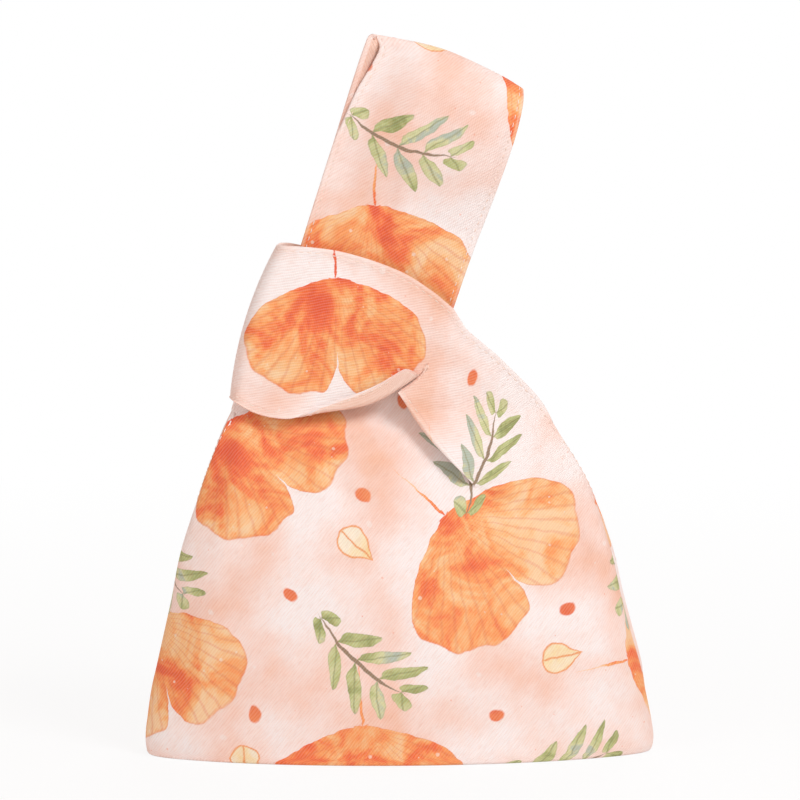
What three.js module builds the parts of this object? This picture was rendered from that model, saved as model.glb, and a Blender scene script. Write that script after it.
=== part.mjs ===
// Knot bag: a lined cloth wrist bag whose long handle is drawn through the loop of its short handle.
// Millimetres. X runs along the front to the right, Y from the front to the back, Z up from the floor.
// The front and the back are alike, so each piece is drawn once and mirrored across the seam plane Y = 0.
import * as THREE from "three";

// Cloth and thread
const outerCloth = 0.7; // printed twill
const liningCloth = 0.5;
const layerGap = 0.3; // clearance between cloth layers
const seamGap = 1.2; // between two cloth edges that a seam thread joins
const threadWidth = 0.5;
const threadClearance = 0.4; // topstitch above the cloth
const stitchInset = 2.2; // topstitch from the cloth's edge

// Body
const baseWidth = 226.8;
const baseDepth = 86;
const bottomRadius = 6; // soft turn from the wall to the underside
const bottomSeamTuck = 9; // bottom seam's ends, in from the sides
const cornerPower = 2.4; // 2 is an oval plan, more is squarer
const leftShoulderReach = 75; // from the middle, where the panels close
const rightShoulderReach = 63;
const leftTaper = 1.7; // 1 is a straight side, more is a rounder one
const rightTaper = 1.9;
const depthTaper = 2.2;
const armholeHeight = 112; // top of the side seams
const armholeGap = 8; // between the front and back edges above the side seams
const armholeLead = 0.4; // the share of the armhole's height over which the seam lets go
const shoulderCutHeight = 86; // where the short handle's cloth leaves the right side seam

// Knot: the middle of the short handle's upper edge, on the long handle's centre line
const knotOffset = -10;
const knotHeight = 218.5;
const handleLean = 17.5; // degrees to the right
const knotTravel = 15; // the short handle slides this far up the long one

// Long handle
const longHandleWidth = 73;
const longHandleReach = 100.5; // from the knot to the top fold
const rootFlare = 5; // each edge, half way down the short handle
const foldClearance = 6; // fold line above the short handle at the end of its travel
const foldSwing = 75; // degrees each way
const loopBow = 11; // each strap, out from the middle at its widest
const loopRise = 1.3; // the straps part slowly above the fold line and close quickly at the top
const loopSkew = 3; // front strap to the right and back strap to the left
const topSlope = 0.065; // top fold falls to the right

// Short handle
const shortHandleWidth = 74;
const shortHandleOverhang = 9.5; // its end past the long handle's left edge
const endBulge = 3;
const endRadius = 9;
const bandCrown = 4.5; // upper edge's rise in the middle of the band
const bandShoulderDrop = 7; // upper edge's fall where it passes the long handle's right edge
const bandShoulderReach = 6; // past that edge
const bandSag = 3; // lower edge's drop near the left end
const bandSagReach = 20; // the sag's lowest point, from the left end
const neckRise = 6; // lower edge's climb to the foot of the neckline
const neckRun = 12;
const bandEase = 4.8; // room between the two handles
const closingMargin = 8; // the panels close this far above the band's lower corner
const neckInset = 11.8; // foot of the neckline, in from the long handle's right edge
const neckDrop = 49; // below the knot
const pleatLength = 55.7; // from the foot of the neckline down the front
const pleatAngle = 51; // degrees below level
const pleatGap = 1.3; // between the front panel and the short handle's cloth
const shoulderDrop = 43; // the shoulder's bend below the knot
const shoulderRound = 1.5; // the shoulder, in from the line of the side

// Mesh steps
const panelColumns = 12;
const bandColumns = 8;
const strapColumns = 4;
const edgeRows = 3;
const bottomRows = 3;
const wallRows = 4;
const chestRows = 4;
const rootRows = 4;
const standRows = 2;
const bandRows = 7;
const shoulderRows = 11;
const loopRows = 9;

const lean = THREE.MathUtils.degToRad(handleLean);
const clothStack = outerCloth + layerGap + liningCloth;
const pinchDepth = clothStack + layerGap / 2; // a closed strap, from the seam plane to its outside
const bandDepth = pinchDepth + bandEase + clothStack;
const bandDrop = shortHandleWidth * Math.cos(lean);
const closingHeight = knotHeight - bandDrop + closingMargin;
const foldHeight = bandCrown + knotTravel + foldClearance;
const handleHalf = longHandleWidth / 2;
const bandEnd = -handleHalf - shortHandleOverhang;
const bevel = Math.tan(THREE.MathUtils.degToRad(foldSwing / 2));

const { lerp, clamp, smoothstep } = THREE.MathUtils;
const flat = (x, z) => new THREE.Vector2(x, z);
const line = (a, b) => (t) => a.clone().lerp(b, t);
const spline = (...points) => {
  const curve = new THREE.SplineCurve(points);
  return (t) => curve.getPoint(t);
};

// A point of the picture plane from its place across and along the long handle
function onHandle(across, along) {
  return flat(
    knotOffset + across * Math.cos(lean) + along * Math.sin(lean),
    knotHeight - across * Math.sin(lean) + along * Math.cos(lean),
  );
}

// Body form
function halfWidth(side, z) {
  const reach = side < 0 ? leftShoulderReach : rightShoulderReach;
  const taper = side < 0 ? leftTaper : rightTaper;
  const half = baseWidth / 2;
  return half - (half - reach) * Math.pow(z / closingHeight, taper);
}

function halfDepth(z) {
  return (baseDepth / 2) * Math.max(0, 1 - Math.pow(z / closingHeight, depthTaper));
}

const plan = (share) => Math.pow(Math.max(0, 1 - Math.pow(Math.abs(share), cornerPower)), 1 / cornerPower);
const sideEdge = (side, z) => flat(side * halfWidth(side, z), z);

// Outside face of the body, measured from the seam plane
function bodyDepth(x, z) {
  const side = Math.sign(x) || 1;
  const share = clamp(x / halfWidth(side, z), -1, 1);
  const open = clamp((z - armholeHeight) / (closingHeight - armholeHeight), 0, 1);
  const lip = (armholeGap / 2) * Math.sin(Math.PI * open) * Math.pow(share, 4);
  const start = lerp(seamGap / 2, pinchDepth, smoothstep(open, 0, armholeLead));
  return start + lip + halfDepth(z) * plan(share);
}

// Landmarks
const neckFoot = onHandle(handleHalf - neckInset, -neckDrop);
const pleat = THREE.MathUtils.degToRad(pleatAngle);
const pleatTip = flat(neckFoot.x + pleatLength * Math.cos(pleat), neckFoot.y - pleatLength * Math.sin(pleat));
const shoulderCut = sideEdge(1, shoulderCutHeight);
const shoulderZ = knotHeight - shoulderDrop;
const shoulderBend = flat(halfWidth(1, shoulderZ) - shoulderRound, shoulderZ);
const bandTopRight = onHandle(handleHalf + bandShoulderReach, -bandShoulderDrop);
const towardsBody = flat(-Math.sin(pleat), -Math.cos(pleat)).multiplyScalar(pleatGap);
const besidePleat = (point) => point.clone().add(towardsBody);

const range = (from, to) => Array.from({ length: to - from + 1 }, (_, i) => from + i);
const spread = (count) => Array.from({ length: count + 1 }, (_, i) => i / count);
const eased = (count) => spread(count).map((t) => (1 - Math.cos(Math.PI * t)) / 2);

// Front panel: half of the bottom, the wall, the chest left of the pleat and the long handle's root
function panelGrid() {
  const shares = eased(panelColumns).map((t) => 2 * t - 1);
  const rows = [];
  const foot = (share, inset, z, part) => {
    const side = Math.sign(share) || 1;
    const tuck = bottomSeamTuck * (1 - part);
    const x = share * (halfWidth(side, z) - inset - tuck);
    const y = seamGap / 2 + part * (halfDepth(z) - inset) * plan(share);
    return new THREE.Vector3(x, -y, z);
  };
  for (const part of spread(bottomRows).slice(0, -1)) {
    rows.push(shares.map((share) => foot(share, bottomRadius, 0, part)));
  }
  for (const turn of spread(edgeRows)) {
    const angle = (turn * Math.PI) / 2;
    const inset = bottomRadius * (1 - Math.sin(angle));
    rows.push(shares.map((share) => foot(share, inset, bottomRadius * (1 - Math.cos(angle)), 1)));
  }
  const upright = (left, right, count) => {
    for (const t of spread(count).slice(1)) {
      const a = left(t);
      const b = right(t);
      rows.push(
        shares.map((share) => {
          const point = a.clone().lerp(b, (share + 1) / 2);
          return new THREE.Vector3(point.x, -bodyDepth(point.x, point.y), point.y);
        }),
      );
    }
  };
  const side = (edge, from, to) => (t) => sideEdge(edge, lerp(from, to, t));
  const rise = side(-1, shoulderCutHeight, closingHeight);
  upright(
    side(-1, bottomRadius, shoulderCutHeight),
    (t) => sideEdge(1, lerp(bottomRadius, shoulderCutHeight - pleatGap, t)),
    wallRows,
  );
  upright((t) => rise(t / 2), line(besidePleat(shoulderCut), besidePleat(pleatTip)), chestRows);
  upright((t) => rise((1 + t) / 2), line(besidePleat(pleatTip), besidePleat(neckFoot)), chestRows);
  upright(
    spline(rise(1), onHandle(-handleHalf - rootFlare, -shortHandleWidth / 2), onHandle(-handleHalf, 0)),
    spline(besidePleat(neckFoot), onHandle(handleHalf - rootFlare, -neckDrop / 2), onHandle(handleHalf, 0)),
    rootRows,
  );
  upright(
    line(onHandle(-handleHalf, 0), onHandle(-handleHalf, foldHeight)),
    line(onHandle(handleHalf, 0), onHandle(handleHalf, foldHeight)),
    standRows,
  );
  return rows;
}

// Short handle's front cloth: from the fold at its left end, across the long handle, to the right shoulder
function bandGrid() {
  const bandLower = spline(
    onHandle(bandEnd, -shortHandleWidth),
    onHandle(bandEnd + bandSagReach, -shortHandleWidth - bandSag),
    onHandle(bandEnd + 2 * bandSagReach, -shortHandleWidth + bandSag),
    onHandle(handleHalf - neckInset - neckRun, -neckDrop - neckRise),
    neckFoot,
  );
  const bandUpper = spline(
    onHandle(bandEnd, 0),
    onHandle(bandEnd / 2, bandCrown),
    onHandle(0, bandCrown),
    onHandle(handleHalf / 2, bandCrown / 2),
    bandTopRight,
  );
  const shoulderLower = line(neckFoot, pleatTip);
  const sideAt = (share) => sideEdge(1, lerp(shoulderCutHeight, shoulderZ, share));
  const shoulderUpper = spline(bandTopRight, shoulderBend, sideAt(2 / 3), sideAt(1 / 3), shoulderCut);
  const armhole = (shoulderZ - armholeHeight) / (shoulderZ - shoulderCutHeight);
  const across = spread(bandColumns);
  const rows = [];
  const ends = across.map((v) => bandLower(0).lerp(bandUpper(0), v));
  for (const t of spread(bandRows)) {
    const u = t ** 1.5; // short steps round the fold
    rows.push(
      across.map((v, j) => {
        const bulge = endBulge * 4 * v * (1 - v) * (1 - u);
        const point = bandLower(u).lerp(bandUpper(u), v);
        const reach = clamp(point.distanceTo(ends[j]) / endRadius, 0, 1);
        const depth = lerp(seamGap / 2, bandDepth, Math.sqrt(1 - (1 - reach) ** 2));
        const out = onHandle(-bulge, 0).sub(onHandle(0, 0));
        return new THREE.Vector3(point.x + out.x, -depth, point.y + out.y);
      }),
    );
  }
  for (const t of spread(shoulderRows).slice(1)) {
    rows.push(
      across.map((v) => {
        const point = shoulderLower(t).lerp(shoulderUpper(t), v);
        const end = pleatTip.clone().lerp(shoulderCut, v);
        const share = smoothstep(t, 0, lerp(1, armhole, v));
        return new THREE.Vector3(point.x, -lerp(bandDepth, bodyDepth(end.x, end.y), share), point.y);
      }),
    );
  }
  return rows;
}

// One strap of the long handle, as a front piece in the handle's own frame: X across, Z along from the knot
function loopGrid(strapSkew) {
  const across = spread(strapColumns);
  const swell = (part) => Math.pow(part, loopRise) * Math.sqrt(1 - part);
  const widest = loopRise / (loopRise + 0.5);
  return spread(loopRows).map((t) => {
    const part = 1 - (1 - t) ** 2; // short steps round the top
    const bow = (loopBow * swell(part)) / swell(widest);
    const depth = lerp(pinchDepth, seamGap / 2, part) + bow;
    const skew = (strapSkew * swell(part)) / swell(widest);
    return across.map((v) => {
      const x = lerp(-handleHalf, handleHalf, v);
      const top = longHandleReach - topSlope * x;
      return new THREE.Vector3(x + skew, -depth, lerp(foldHeight, top, part));
    });
  });
}

// Outward unit normals of a grid, for a front piece: the mean of the faces round each point
function gridNormals(grid) {
  const normals = grid.map((row) => row.map(() => new THREE.Vector3()));
  for (let i = 0; i < grid.length - 1; i += 1) {
    for (let j = 0; j < grid[0].length - 1; j += 1) {
      const rising = grid[i + 1][j + 1].clone().sub(grid[i][j]);
      const face = rising.cross(grid[i + 1][j].clone().sub(grid[i][j + 1])).normalize();
      for (const [di, dj] of [[0, 0], [0, 1], [1, 0], [1, 1]]) normals[i + di][j + dj].add(face);
    }
  }
  const facing = normals.flat().reduce((sum, normal) => sum - normal.y, 0);
  return normals.map((row) => row.map((normal) => normal.multiplyScalar(Math.sign(facing)).normalize()));
}

// One cloth layer: the grid's outside face moved inwards by two depths and closed round the rim
function clothSheet(grid, outerDepth, innerDepth, limit) {
  const normals = gridNormals(grid);
  const columns = grid[0].length;
  const count = grid.length * columns;
  const sunk = (i, j, depth) => limit(grid[i][j].clone().addScaledVector(normals[i][j], -depth));
  const layer = (depth) => grid.flatMap((row, i) => row.map((_, j) => sunk(i, j, depth)));
  const points = [...layer(outerDepth), ...layer(innerDepth)];
  const index = [];
  const quad = (a, b, c, d) => {
    const along = points[a].distanceTo(points[c]) <= points[b].distanceTo(points[d]);
    index.push(...(along ? [a, b, c, a, c, d] : [b, c, d, b, d, a]));
  };
  const at = (i, j) => i * columns + j;
  const rim = [];
  for (let j = 0; j < columns - 1; j += 1) rim.push([at(0, j), at(0, j + 1)]);
  for (let i = 0; i < grid.length - 1; i += 1) rim.push([at(i, columns - 1), at(i + 1, columns - 1)]);
  for (let j = columns - 1; j > 0; j -= 1) rim.push([at(grid.length - 1, j), at(grid.length - 1, j - 1)]);
  for (let i = grid.length - 1; i > 0; i -= 1) rim.push([at(i, 0), at(i - 1, 0)]);
  for (let i = 0; i < grid.length - 1; i += 1) {
    for (let j = 0; j < columns - 1; j += 1) {
      const corners = [at(i, j), at(i, j + 1), at(i + 1, j + 1), at(i + 1, j)];
      quad(...corners);
      quad(...corners.map((corner) => corner + count).reverse());
    }
  }
  for (const [a, b] of rim) quad(b, a, a + count, b + count);
  return solidGeometry(points, index);
}

function solidGeometry(points, index) {
  const volume = (order) => {
    let sum = 0;
    for (let k = 0; k < order.length; k += 3) {
      const [a, b, c] = [points[order[k]], points[order[k + 1]], points[order[k + 2]]];
      sum += a.dot(b.clone().cross(c));
    }
    return sum;
  };
  const outward = volume(index) > 0 ? index : index.slice().reverse();
  const geometry = new THREE.BufferGeometry();
  const positions = points.flatMap((point) => [point.x, point.y, point.z]);
  geometry.setAttribute("position", new THREE.Float32BufferAttribute(positions, 3));
  geometry.setIndex(outward);
  geometry.computeVertexNormals();
  return geometry;
}

// A run of sewing thread along points
function threadRun(points) {
  const section = new THREE.Shape();
  const sides = 4;
  for (let k = 0; k < sides; k += 1) {
    const angle = (k / sides) * 2 * Math.PI;
    const corner = flat(Math.cos(angle), Math.sin(angle)).multiplyScalar(threadWidth / 2);
    if (k === 0) section.moveTo(corner.x, corner.y);
    else section.lineTo(corner.x, corner.y);
  }
  const path = new THREE.CatmullRomCurve3(points);
  return new THREE.ExtrudeGeometry(section, { steps: points.length, bevelEnabled: false, extrudePath: path });
}

// Topstitch on the outside of a grid, along one edge: edge and next are the edge's column and its neighbour
function edgeStitch(grid, edge, next, first, last) {
  const normals = gridNormals(grid);
  const lift = threadClearance + threadWidth / 2;
  const rung = (i) => {
    const inward = grid[i][next].clone().sub(grid[i][edge]).normalize();
    const normal = normals[i][edge].clone().add(normals[i][next]).normalize();
    return grid[i][edge].clone().addScaledVector(inward, stitchInset).addScaledVector(normal, lift);
  };
  const rungs = range(first, last).map(rung);
  return rungs.flatMap((point, i) => (i ? [point.clone().lerp(rungs[i - 1], 0.5), point] : [point]));
}

const mirrored = (points) => points.map((point) => new THREE.Vector3(point.x, -point.y, point.z));

// Materials
const printedTwill = () => new THREE.MeshStandardMaterial({ color: 0xf9d5c2, roughness: 0.9, metalness: 0 });
const liningTwill = () => new THREE.MeshStandardMaterial({ color: 0xfaeae2, roughness: 0.92, metalness: 0 });
const sewingThread = () => new THREE.MeshStandardMaterial({ color: 0xf6dccb, roughness: 0.7, metalness: 0 });

const bag = new THREE.Group();
const longHandle = new THREE.Group();
longHandle.position.set(knotOffset, 0, knotHeight);
longHandle.rotation.y = lean;
const shortHandle = new THREE.Group();
bag.add(longHandle, shortHandle);

function add(group, name, geometry, material) {
  const mesh = new THREE.Mesh(geometry, material);
  mesh.name = name;
  group.add(mesh);
}

// The front piece's limits, so that no layer crosses the seam plane or the fold line's V groove
const acrossSeam = (least) => (point) => point.setY(Math.min(point.y, -least));
const foldLimit = (point) => foldHeight - layerGap / 2 - bevel * Math.abs(point.y);

function panelLimit(point) {
  acrossSeam(point.z < armholeHeight ? seamGap / 2 : layerGap / 2)(point);
  const [dx, dz] = [point.x - knotOffset, point.z - knotHeight];
  const along = dx * Math.sin(lean) + dz * Math.cos(lean);
  const over = Math.max(0, along - foldLimit(point));
  point.x -= over * Math.sin(lean);
  point.z -= over * Math.cos(lean);
  return point;
}

function loopLimit(point) {
  acrossSeam(layerGap / 2)(point);
  point.z = Math.max(point.z, 2 * foldHeight - foldLimit(point));
  return point;
}

const panel = panelGrid();
const band = bandGrid();
const loop = loopGrid(loopSkew);
const backLoop = loopGrid(-loopSkew);

function addCloth(group, [frontGrid, backGrid], limit, outerName, liningName) {
  const layers = [
    [outerName, 0, outerCloth, printedTwill],
    [liningName, outerCloth + layerGap, clothStack, liningTwill],
  ];
  for (const [name, from, to, material] of layers) {
    add(group, name("front"), clothSheet(frontGrid, from, to, limit), material());
    const back = clothSheet(backGrid, from, to, limit).scale(1, -1, 1);
    back.setIndex(Array.from(back.index.array).reverse());
    back.computeVertexNormals();
    add(group, name("back"), back, material());
  }
}

addCloth(bag, [panel, panel], panelLimit, (face) => `${face}_panel`, (face) => `${face}_lining`);
addCloth(
  longHandle,
  [loop, backLoop],
  loopLimit,
  (face) => `long_handle_${face}`,
  (face) => `long_handle_${face}_lining`,
);
addCloth(
  shortHandle,
  [band, band],
  acrossSeam(seamGap / 2),
  (face) => `short_handle_${face}`,
  (face) => `short_handle_${face}_lining`,
);

// Topstitches, front and back
const last = panel.length - 1;
const firstRoot = last - rootRows - standRows + 1;
const beforeSeam = bandRows + shoulderRows - 2;
const stitches = [
  [bag, "armhole_stitch", [panel, panel], 0, 1, firstRoot, last - 1],
  [bag, "neckline_stitch", [panel, panel], panelColumns, panelColumns - 1, firstRoot, last - 1],
  [longHandle, "long_handle_left_stitch", [loop, backLoop], 0, 1, 1, loopRows - 1],
  [longHandle, "long_handle_right_stitch", [loop, backLoop], strapColumns, strapColumns - 1, 1, loopRows - 1],
  [shortHandle, "short_handle_lower_stitch", [band, band], 0, 1, 2, bandRows],
  [shortHandle, "short_handle_upper_stitch", [band, band], bandColumns, bandColumns - 1, 2, beforeSeam],
];
for (const [group, name, [frontGrid, backGrid], ...route] of stitches) {
  add(group, `front_${name}`, threadRun(edgeStitch(frontGrid, ...route)), sewingThread());
  add(group, `back_${name}`, threadRun(mirrored(edgeStitch(backGrid, ...route))), sewingThread());
}

// Seam threads, in the seam plane between the two cloth edges, half way through the cloth
const halfCloth = outerCloth / 2;
const seamSteps = 8;
const inSeam = (points, dx, dz) => points.map((point) => new THREE.Vector3(point.x + dx, 0, point.z + dz));
function sideSeam(side, from, to) {
  return spread(seamSteps).map((t) => {
    const edge = sideEdge(side, lerp(from, to, t));
    return new THREE.Vector3(edge.x - side * halfCloth, 0, edge.y);
  });
}
const seams = [
  [bag, "left_side_seam", sideSeam(-1, bottomRadius, armholeHeight)],
  [bag, "right_side_seam", sideSeam(1, bottomRadius, shoulderCutHeight - pleatGap)],
  [bag, "bottom_seam", inSeam(panel[0], 0, halfCloth)],
  [longHandle, "long_handle_top_seam", inSeam(loop[loopRows], 0, -halfCloth)],
  [shortHandle, "short_handle_end_seam", inSeam(band[0], halfCloth, 0)],
  [shortHandle, "right_shoulder_seam", sideSeam(1, shoulderCutHeight, armholeHeight)],
];
for (const [group, name, points] of seams) add(group, name, threadRun(points), sewingThread());

export default bag;
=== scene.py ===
import math
from functools import partial

import bpy
import numpy as np
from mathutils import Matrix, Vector


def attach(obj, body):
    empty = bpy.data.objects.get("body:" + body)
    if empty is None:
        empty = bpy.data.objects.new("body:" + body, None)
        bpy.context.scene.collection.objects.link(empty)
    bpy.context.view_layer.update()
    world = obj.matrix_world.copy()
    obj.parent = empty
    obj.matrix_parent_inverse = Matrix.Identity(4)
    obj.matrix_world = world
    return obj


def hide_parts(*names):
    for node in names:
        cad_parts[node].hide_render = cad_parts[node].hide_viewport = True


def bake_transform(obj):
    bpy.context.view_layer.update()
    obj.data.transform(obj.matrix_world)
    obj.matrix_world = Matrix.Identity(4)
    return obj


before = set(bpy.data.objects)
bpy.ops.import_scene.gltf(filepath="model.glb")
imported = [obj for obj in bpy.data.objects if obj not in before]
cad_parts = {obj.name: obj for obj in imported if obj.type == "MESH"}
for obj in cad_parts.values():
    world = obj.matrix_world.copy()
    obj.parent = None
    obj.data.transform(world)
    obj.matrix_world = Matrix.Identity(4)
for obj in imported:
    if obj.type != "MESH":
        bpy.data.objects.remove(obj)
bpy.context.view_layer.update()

mm = 0.001  # sizes below are in millimetres and meshes in metres

# Cloth and thread, shared by every piece
cloth = {
    "printed": 0.5,  # thickness of the outer twill
    "lining": 0.4,
    "between": 0.05,
    "seamHalfGap": 0.12,
    "seamSunk": 0.3,  # a seam's thread lies inside the joint
    # edges turned inwards: length, radius and angle
    "seamTurn": (2.6, 0.55, math.pi / 2),
    "hemTurn": (4.0, 0.8, math.pi),  # round the lining
    "underTurn": (6.0, 9.0, 0.6),  # under the flap
    "turnSteps": 7,
    "hemRidge": 0.35,  # the doubled edge stands up
    "hemWidth": 3.4,
    "hemSlope": 1.2,
    "hemSteps": 9,
    "midSteps": 42,
    "stitchInset": 1.8,
    "stitchGroove": 0.25,
    "grooveWidth": 0.55,
    "sharpAngle": 55,
}
bagSides = (("front", -1), ("back", 1))  # and the way each one faces along y

# Body of the bag, as in the solids
body = {
    "baseDepth": 86,
    "bottomRadius": 1.4,
    "bottomSeamTuck": 9,
    "bottomSeamEnd": 2,
    "seamEnd": 1,  # stitches stop short of a seam's ends
    "planTaper": 0.5,  # plan of the base: a lens with blunt ends
    "cornerPower": 5,
    # side outlines, reach from the middle and height
    "leftSide": [
        (114.4, 0), (115.2, 5), (115, 12), (113, 28), (110, 41.5),
        (104, 68.5), (98.3, 95.7), (84, 136.5), (74.6, 157),
    ],
    "rightSide": [
        (113.6, 0), (114.6, 4), (114.4, 10), (111.8, 28), (109.8, 41.5),
        (102.6, 68.5), (96.2, 95.7), (86, 120), (63.2, 158),
    ],
    "depthTaper": 2.2,
    "armholeHeight": 112,
    "armholeGap": 8,
    "armholeLead": 0.4,
    "closingHeight": 155.93,
    "pinch": 1.65,  # a closed strap, from the seam plane to its outside
    "shoulderCut": 86,
}

# The knot: the middle of the short handle's upper edge, on the long handle's centre line
knot = {
    "x": -10,
    "z": 218.5,
    "lean": 17.5,
    "slideWay": (-0.5, 0, 0.866),
    "foldHeight": 25.5,
    "foldSpan": (8.0, 43.0),  # where the cloth bends, along the long handle
}
lean = math.radians(knot["lean"])


def onHandle(across, along):
    across = np.asarray(across, float)
    along = np.asarray(along, float)
    x = knot["x"] + across * math.cos(lean) + along * math.sin(lean)
    z = knot["z"] - across * math.sin(lean) + along * math.cos(lean)
    return np.stack([x, z], axis=-1)


def ease(value, low=0.0, high=1.0):
    share = np.clip((value - low) / (high - low), 0, 1)
    return share * share * (3 - 2 * share)


def mix(a, b, share):
    return a + (b - a) * share


def unit(vectors):
    return vectors / np.maximum(np.linalg.norm(vectors, axis=-1, keepdims=True), 1e-12)


def running(steps):
    # sums from zero on, along the last axis
    return np.concatenate([np.zeros((*steps.shape[:-1], 1)), np.cumsum(steps, axis=-1)], -1)


def lengthAlong(points):
    # length so far along a line of points, or along each row of a grid
    return running(np.linalg.norm(np.diff(points, axis=-2), axis=-1))


def readAt(place, known, values):
    # rows of values, read between the places where they are known
    return np.stack([np.interp(place, known, column) for column in values.T], axis=-1)


def curveThrough(points):
    # a smooth curve through points, read by its share of the length
    points = np.array(points, float)
    padded = np.vstack([2 * points[0] - points[1], points, 2 * points[-1] - points[-2]])
    t = np.linspace(0, 1, 40, endpoint=False)[:, None]
    runs = []
    for a, b, c, d in zip(padded, padded[1:], padded[2:], padded[3:]):
        bend = 2 * a - 5 * b + 4 * c - d
        swing = 3 * b - a - 3 * c + d
        runs.append(0.5 * (2 * b + (c - a) * t + bend * t**2 + swing * t**3))
    dense = np.vstack(runs + [points[-1:]])
    length = lengthAlong(dense)
    return lambda share: readAt(np.asarray(share, float) * length[-1], length, dense)


# Body form

leftSide, rightSide = (curveThrough(body[side])(np.linspace(0, 1, 200)) for side in ("leftSide", "rightSide"))


def halfWidth(x, z):
    left = np.interp(z, leftSide[:, 1], leftSide[:, 0])
    right = np.interp(z, rightSide[:, 1], rightSide[:, 0])
    return np.where(x < 0, left, right)


def halfDepth(z):
    share = np.maximum(z, 0) / body["closingHeight"]
    return body["baseDepth"] / 2 * np.maximum(0, 1 - share ** body["depthTaper"])


def plan(share):
    power = body["cornerPower"]
    return (1 - body["planTaper"] * share**2) * np.maximum(0, 1 - np.abs(share) ** power) ** (1 / power)


def bodyDepth(x, z):
    share = np.clip(x / halfWidth(x, z), -1, 1)
    opened = np.clip((z - body["armholeHeight"]) / (body["closingHeight"] - body["armholeHeight"]), 0, 1)
    lip = body["armholeGap"] / 2 * np.sin(np.pi * opened) * share**4
    start = mix(cloth["seamHalfGap"], body["pinch"], ease(opened, 0, body["armholeLead"]))
    return start + lip + halfDepth(z) * plan(share)


def sideEdge(side, z):
    z = np.asarray(z, float)
    return np.stack([side * halfWidth(np.full_like(z, side), z), z], axis=-1)


def evenShares(count):
    # shares of the half width, at even steps round the base
    fine = np.sin(np.linspace(-1, 1, 4001) * np.pi / 2)
    across = np.diff(fine) * halfWidth(1.0, 0.0)
    run = running(np.hypot(across, np.diff(plan(fine)) * body["baseDepth"] / 2))
    return np.interp(np.linspace(0, run[-1], count), run, fine)


# The cut cloth laid flat: each place on the body gets its place on the cloth, by length along the surface
flatShares = evenShares(401)
flatHeights = np.linspace(0, body["closingHeight"], 80)


def flatTable():
    table = []
    for z in flatHeights:
        x = flatShares * halfWidth(flatShares, np.full_like(flatShares, z))
        depth = bodyDepth(x, np.full_like(x, z))
        run = running(np.hypot(np.diff(x), np.diff(depth)))
        table.append(run - np.interp(0, x, run))
    rise = np.hypot(np.diff(flatHeights), np.diff(halfDepth(flatHeights)))
    return np.array(table), running(rise)


flatAcross, flatUp = flatTable()


def flatOf(x, z):
    share = np.clip(x / halfWidth(x, np.minimum(z, body["closingHeight"])), -1, 1)
    column = np.interp(share, flatShares, np.arange(len(flatShares)))
    row = np.clip(z / body["closingHeight"], 0, 1) * (len(flatHeights) - 1)
    i = np.clip(row.astype(int), 0, len(flatHeights) - 2)
    j = np.clip(column.astype(int), 0, len(flatShares) - 2)
    a = row - i
    b = column - j
    low = mix(flatAcross[i, j], flatAcross[i, j + 1], b)
    high = mix(flatAcross[i + 1, j], flatAcross[i + 1, j + 1], b)
    over = np.maximum(z - body["closingHeight"], 0)
    return np.stack([mix(low, high, a), np.interp(z, flatHeights, flatUp) + over], axis=-1)


# Folds and ripples, as vertex moves

def creaseHeight(creases, x, z):
    # a crease runs from one point to another, with a width and a height, and fades out at its ends
    total = np.zeros_like(x)
    for x0, z0, x1, z1, width, height in creases:
        run = np.array([x1 - x0, z1 - z0])
        length = np.hypot(*run)
        run = run / length
        along = (x - x0) * run[0] + (z - z0) * run[1]
        aside = (z - z0) * run[0] - (x - x0) * run[1]
        outside, inside = -0.25 * length, 0.35 * length
        ends = ease(along, outside, inside) * ease(length - along, outside, inside)
        total += height * ends * np.exp(-((aside / width) ** 2))
    return total


def ripple(x, z, wavelength, seed, waves=7):
    draw = np.random.default_rng(seed)
    total = np.zeros_like(x)
    for _ in range(waves):
        angle = draw.uniform(0, 2 * np.pi)
        phase = draw.uniform(0, 2 * np.pi)
        scale = 2 * np.pi / (wavelength * draw.uniform(0.7, 1.5))  # uneven, so no ripple repeats
        total += np.sin(scale * (x * np.cos(angle) + z * np.sin(angle)) + phase)
    return total / waves**0.5


# The right side seam lies a little to the front of the bag's widest place, so a strip of the back shows
# beside it; the left one lies a little behind. Both straighten out at the base and at the knot
seamSet = {
    "fromShare": 0.8,  # of the half width
    "round": 6.0,
    "right": {"forward": 7.0, "inset": 2.6, "low": (5, 55), "high": (96, 130)},
    "left": {"forward": -4.0, "inset": 1.2, "low": (3, 30), "high": (130, 156)},
}


def settle(grid):
    x, y, z = grid[..., 0], grid[..., 1], grid[..., 2]
    share = x / halfWidth(x, np.minimum(z, body["closingHeight"]))
    moved = grid.copy()
    for side, name in ((1, "right"), (-1, "left")):
        seam = seamSet[name]
        near = ease(side * share, seamSet["fromShare"], 1.0)
        near = near * ease(z, *seam["low"]) * (1 - ease(z, *seam["high"]))
        rounded = np.where(y * seam["forward"] > 0, np.exp(-((y / seamSet["round"]) ** 2)), 1.0)
        moved[..., 0] -= side * seam["inset"] * near * rounded
        moved[..., 1] -= seam["forward"] * near
    return moved


# Meshes

def gridNormals(grid, facing):
    face = unit(np.cross(grid[1:, 1:] - grid[:-1, :-1], grid[1:, :-1] - grid[:-1, 1:]))
    normals = np.zeros_like(grid)
    for i in (0, 1):
        for j in (0, 1):
            normals[i:i + face.shape[0], j:j + face.shape[1]] += face
    if normals[..., 1].sum() * facing < 0:
        normals = -normals
    return unit(normals)


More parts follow.
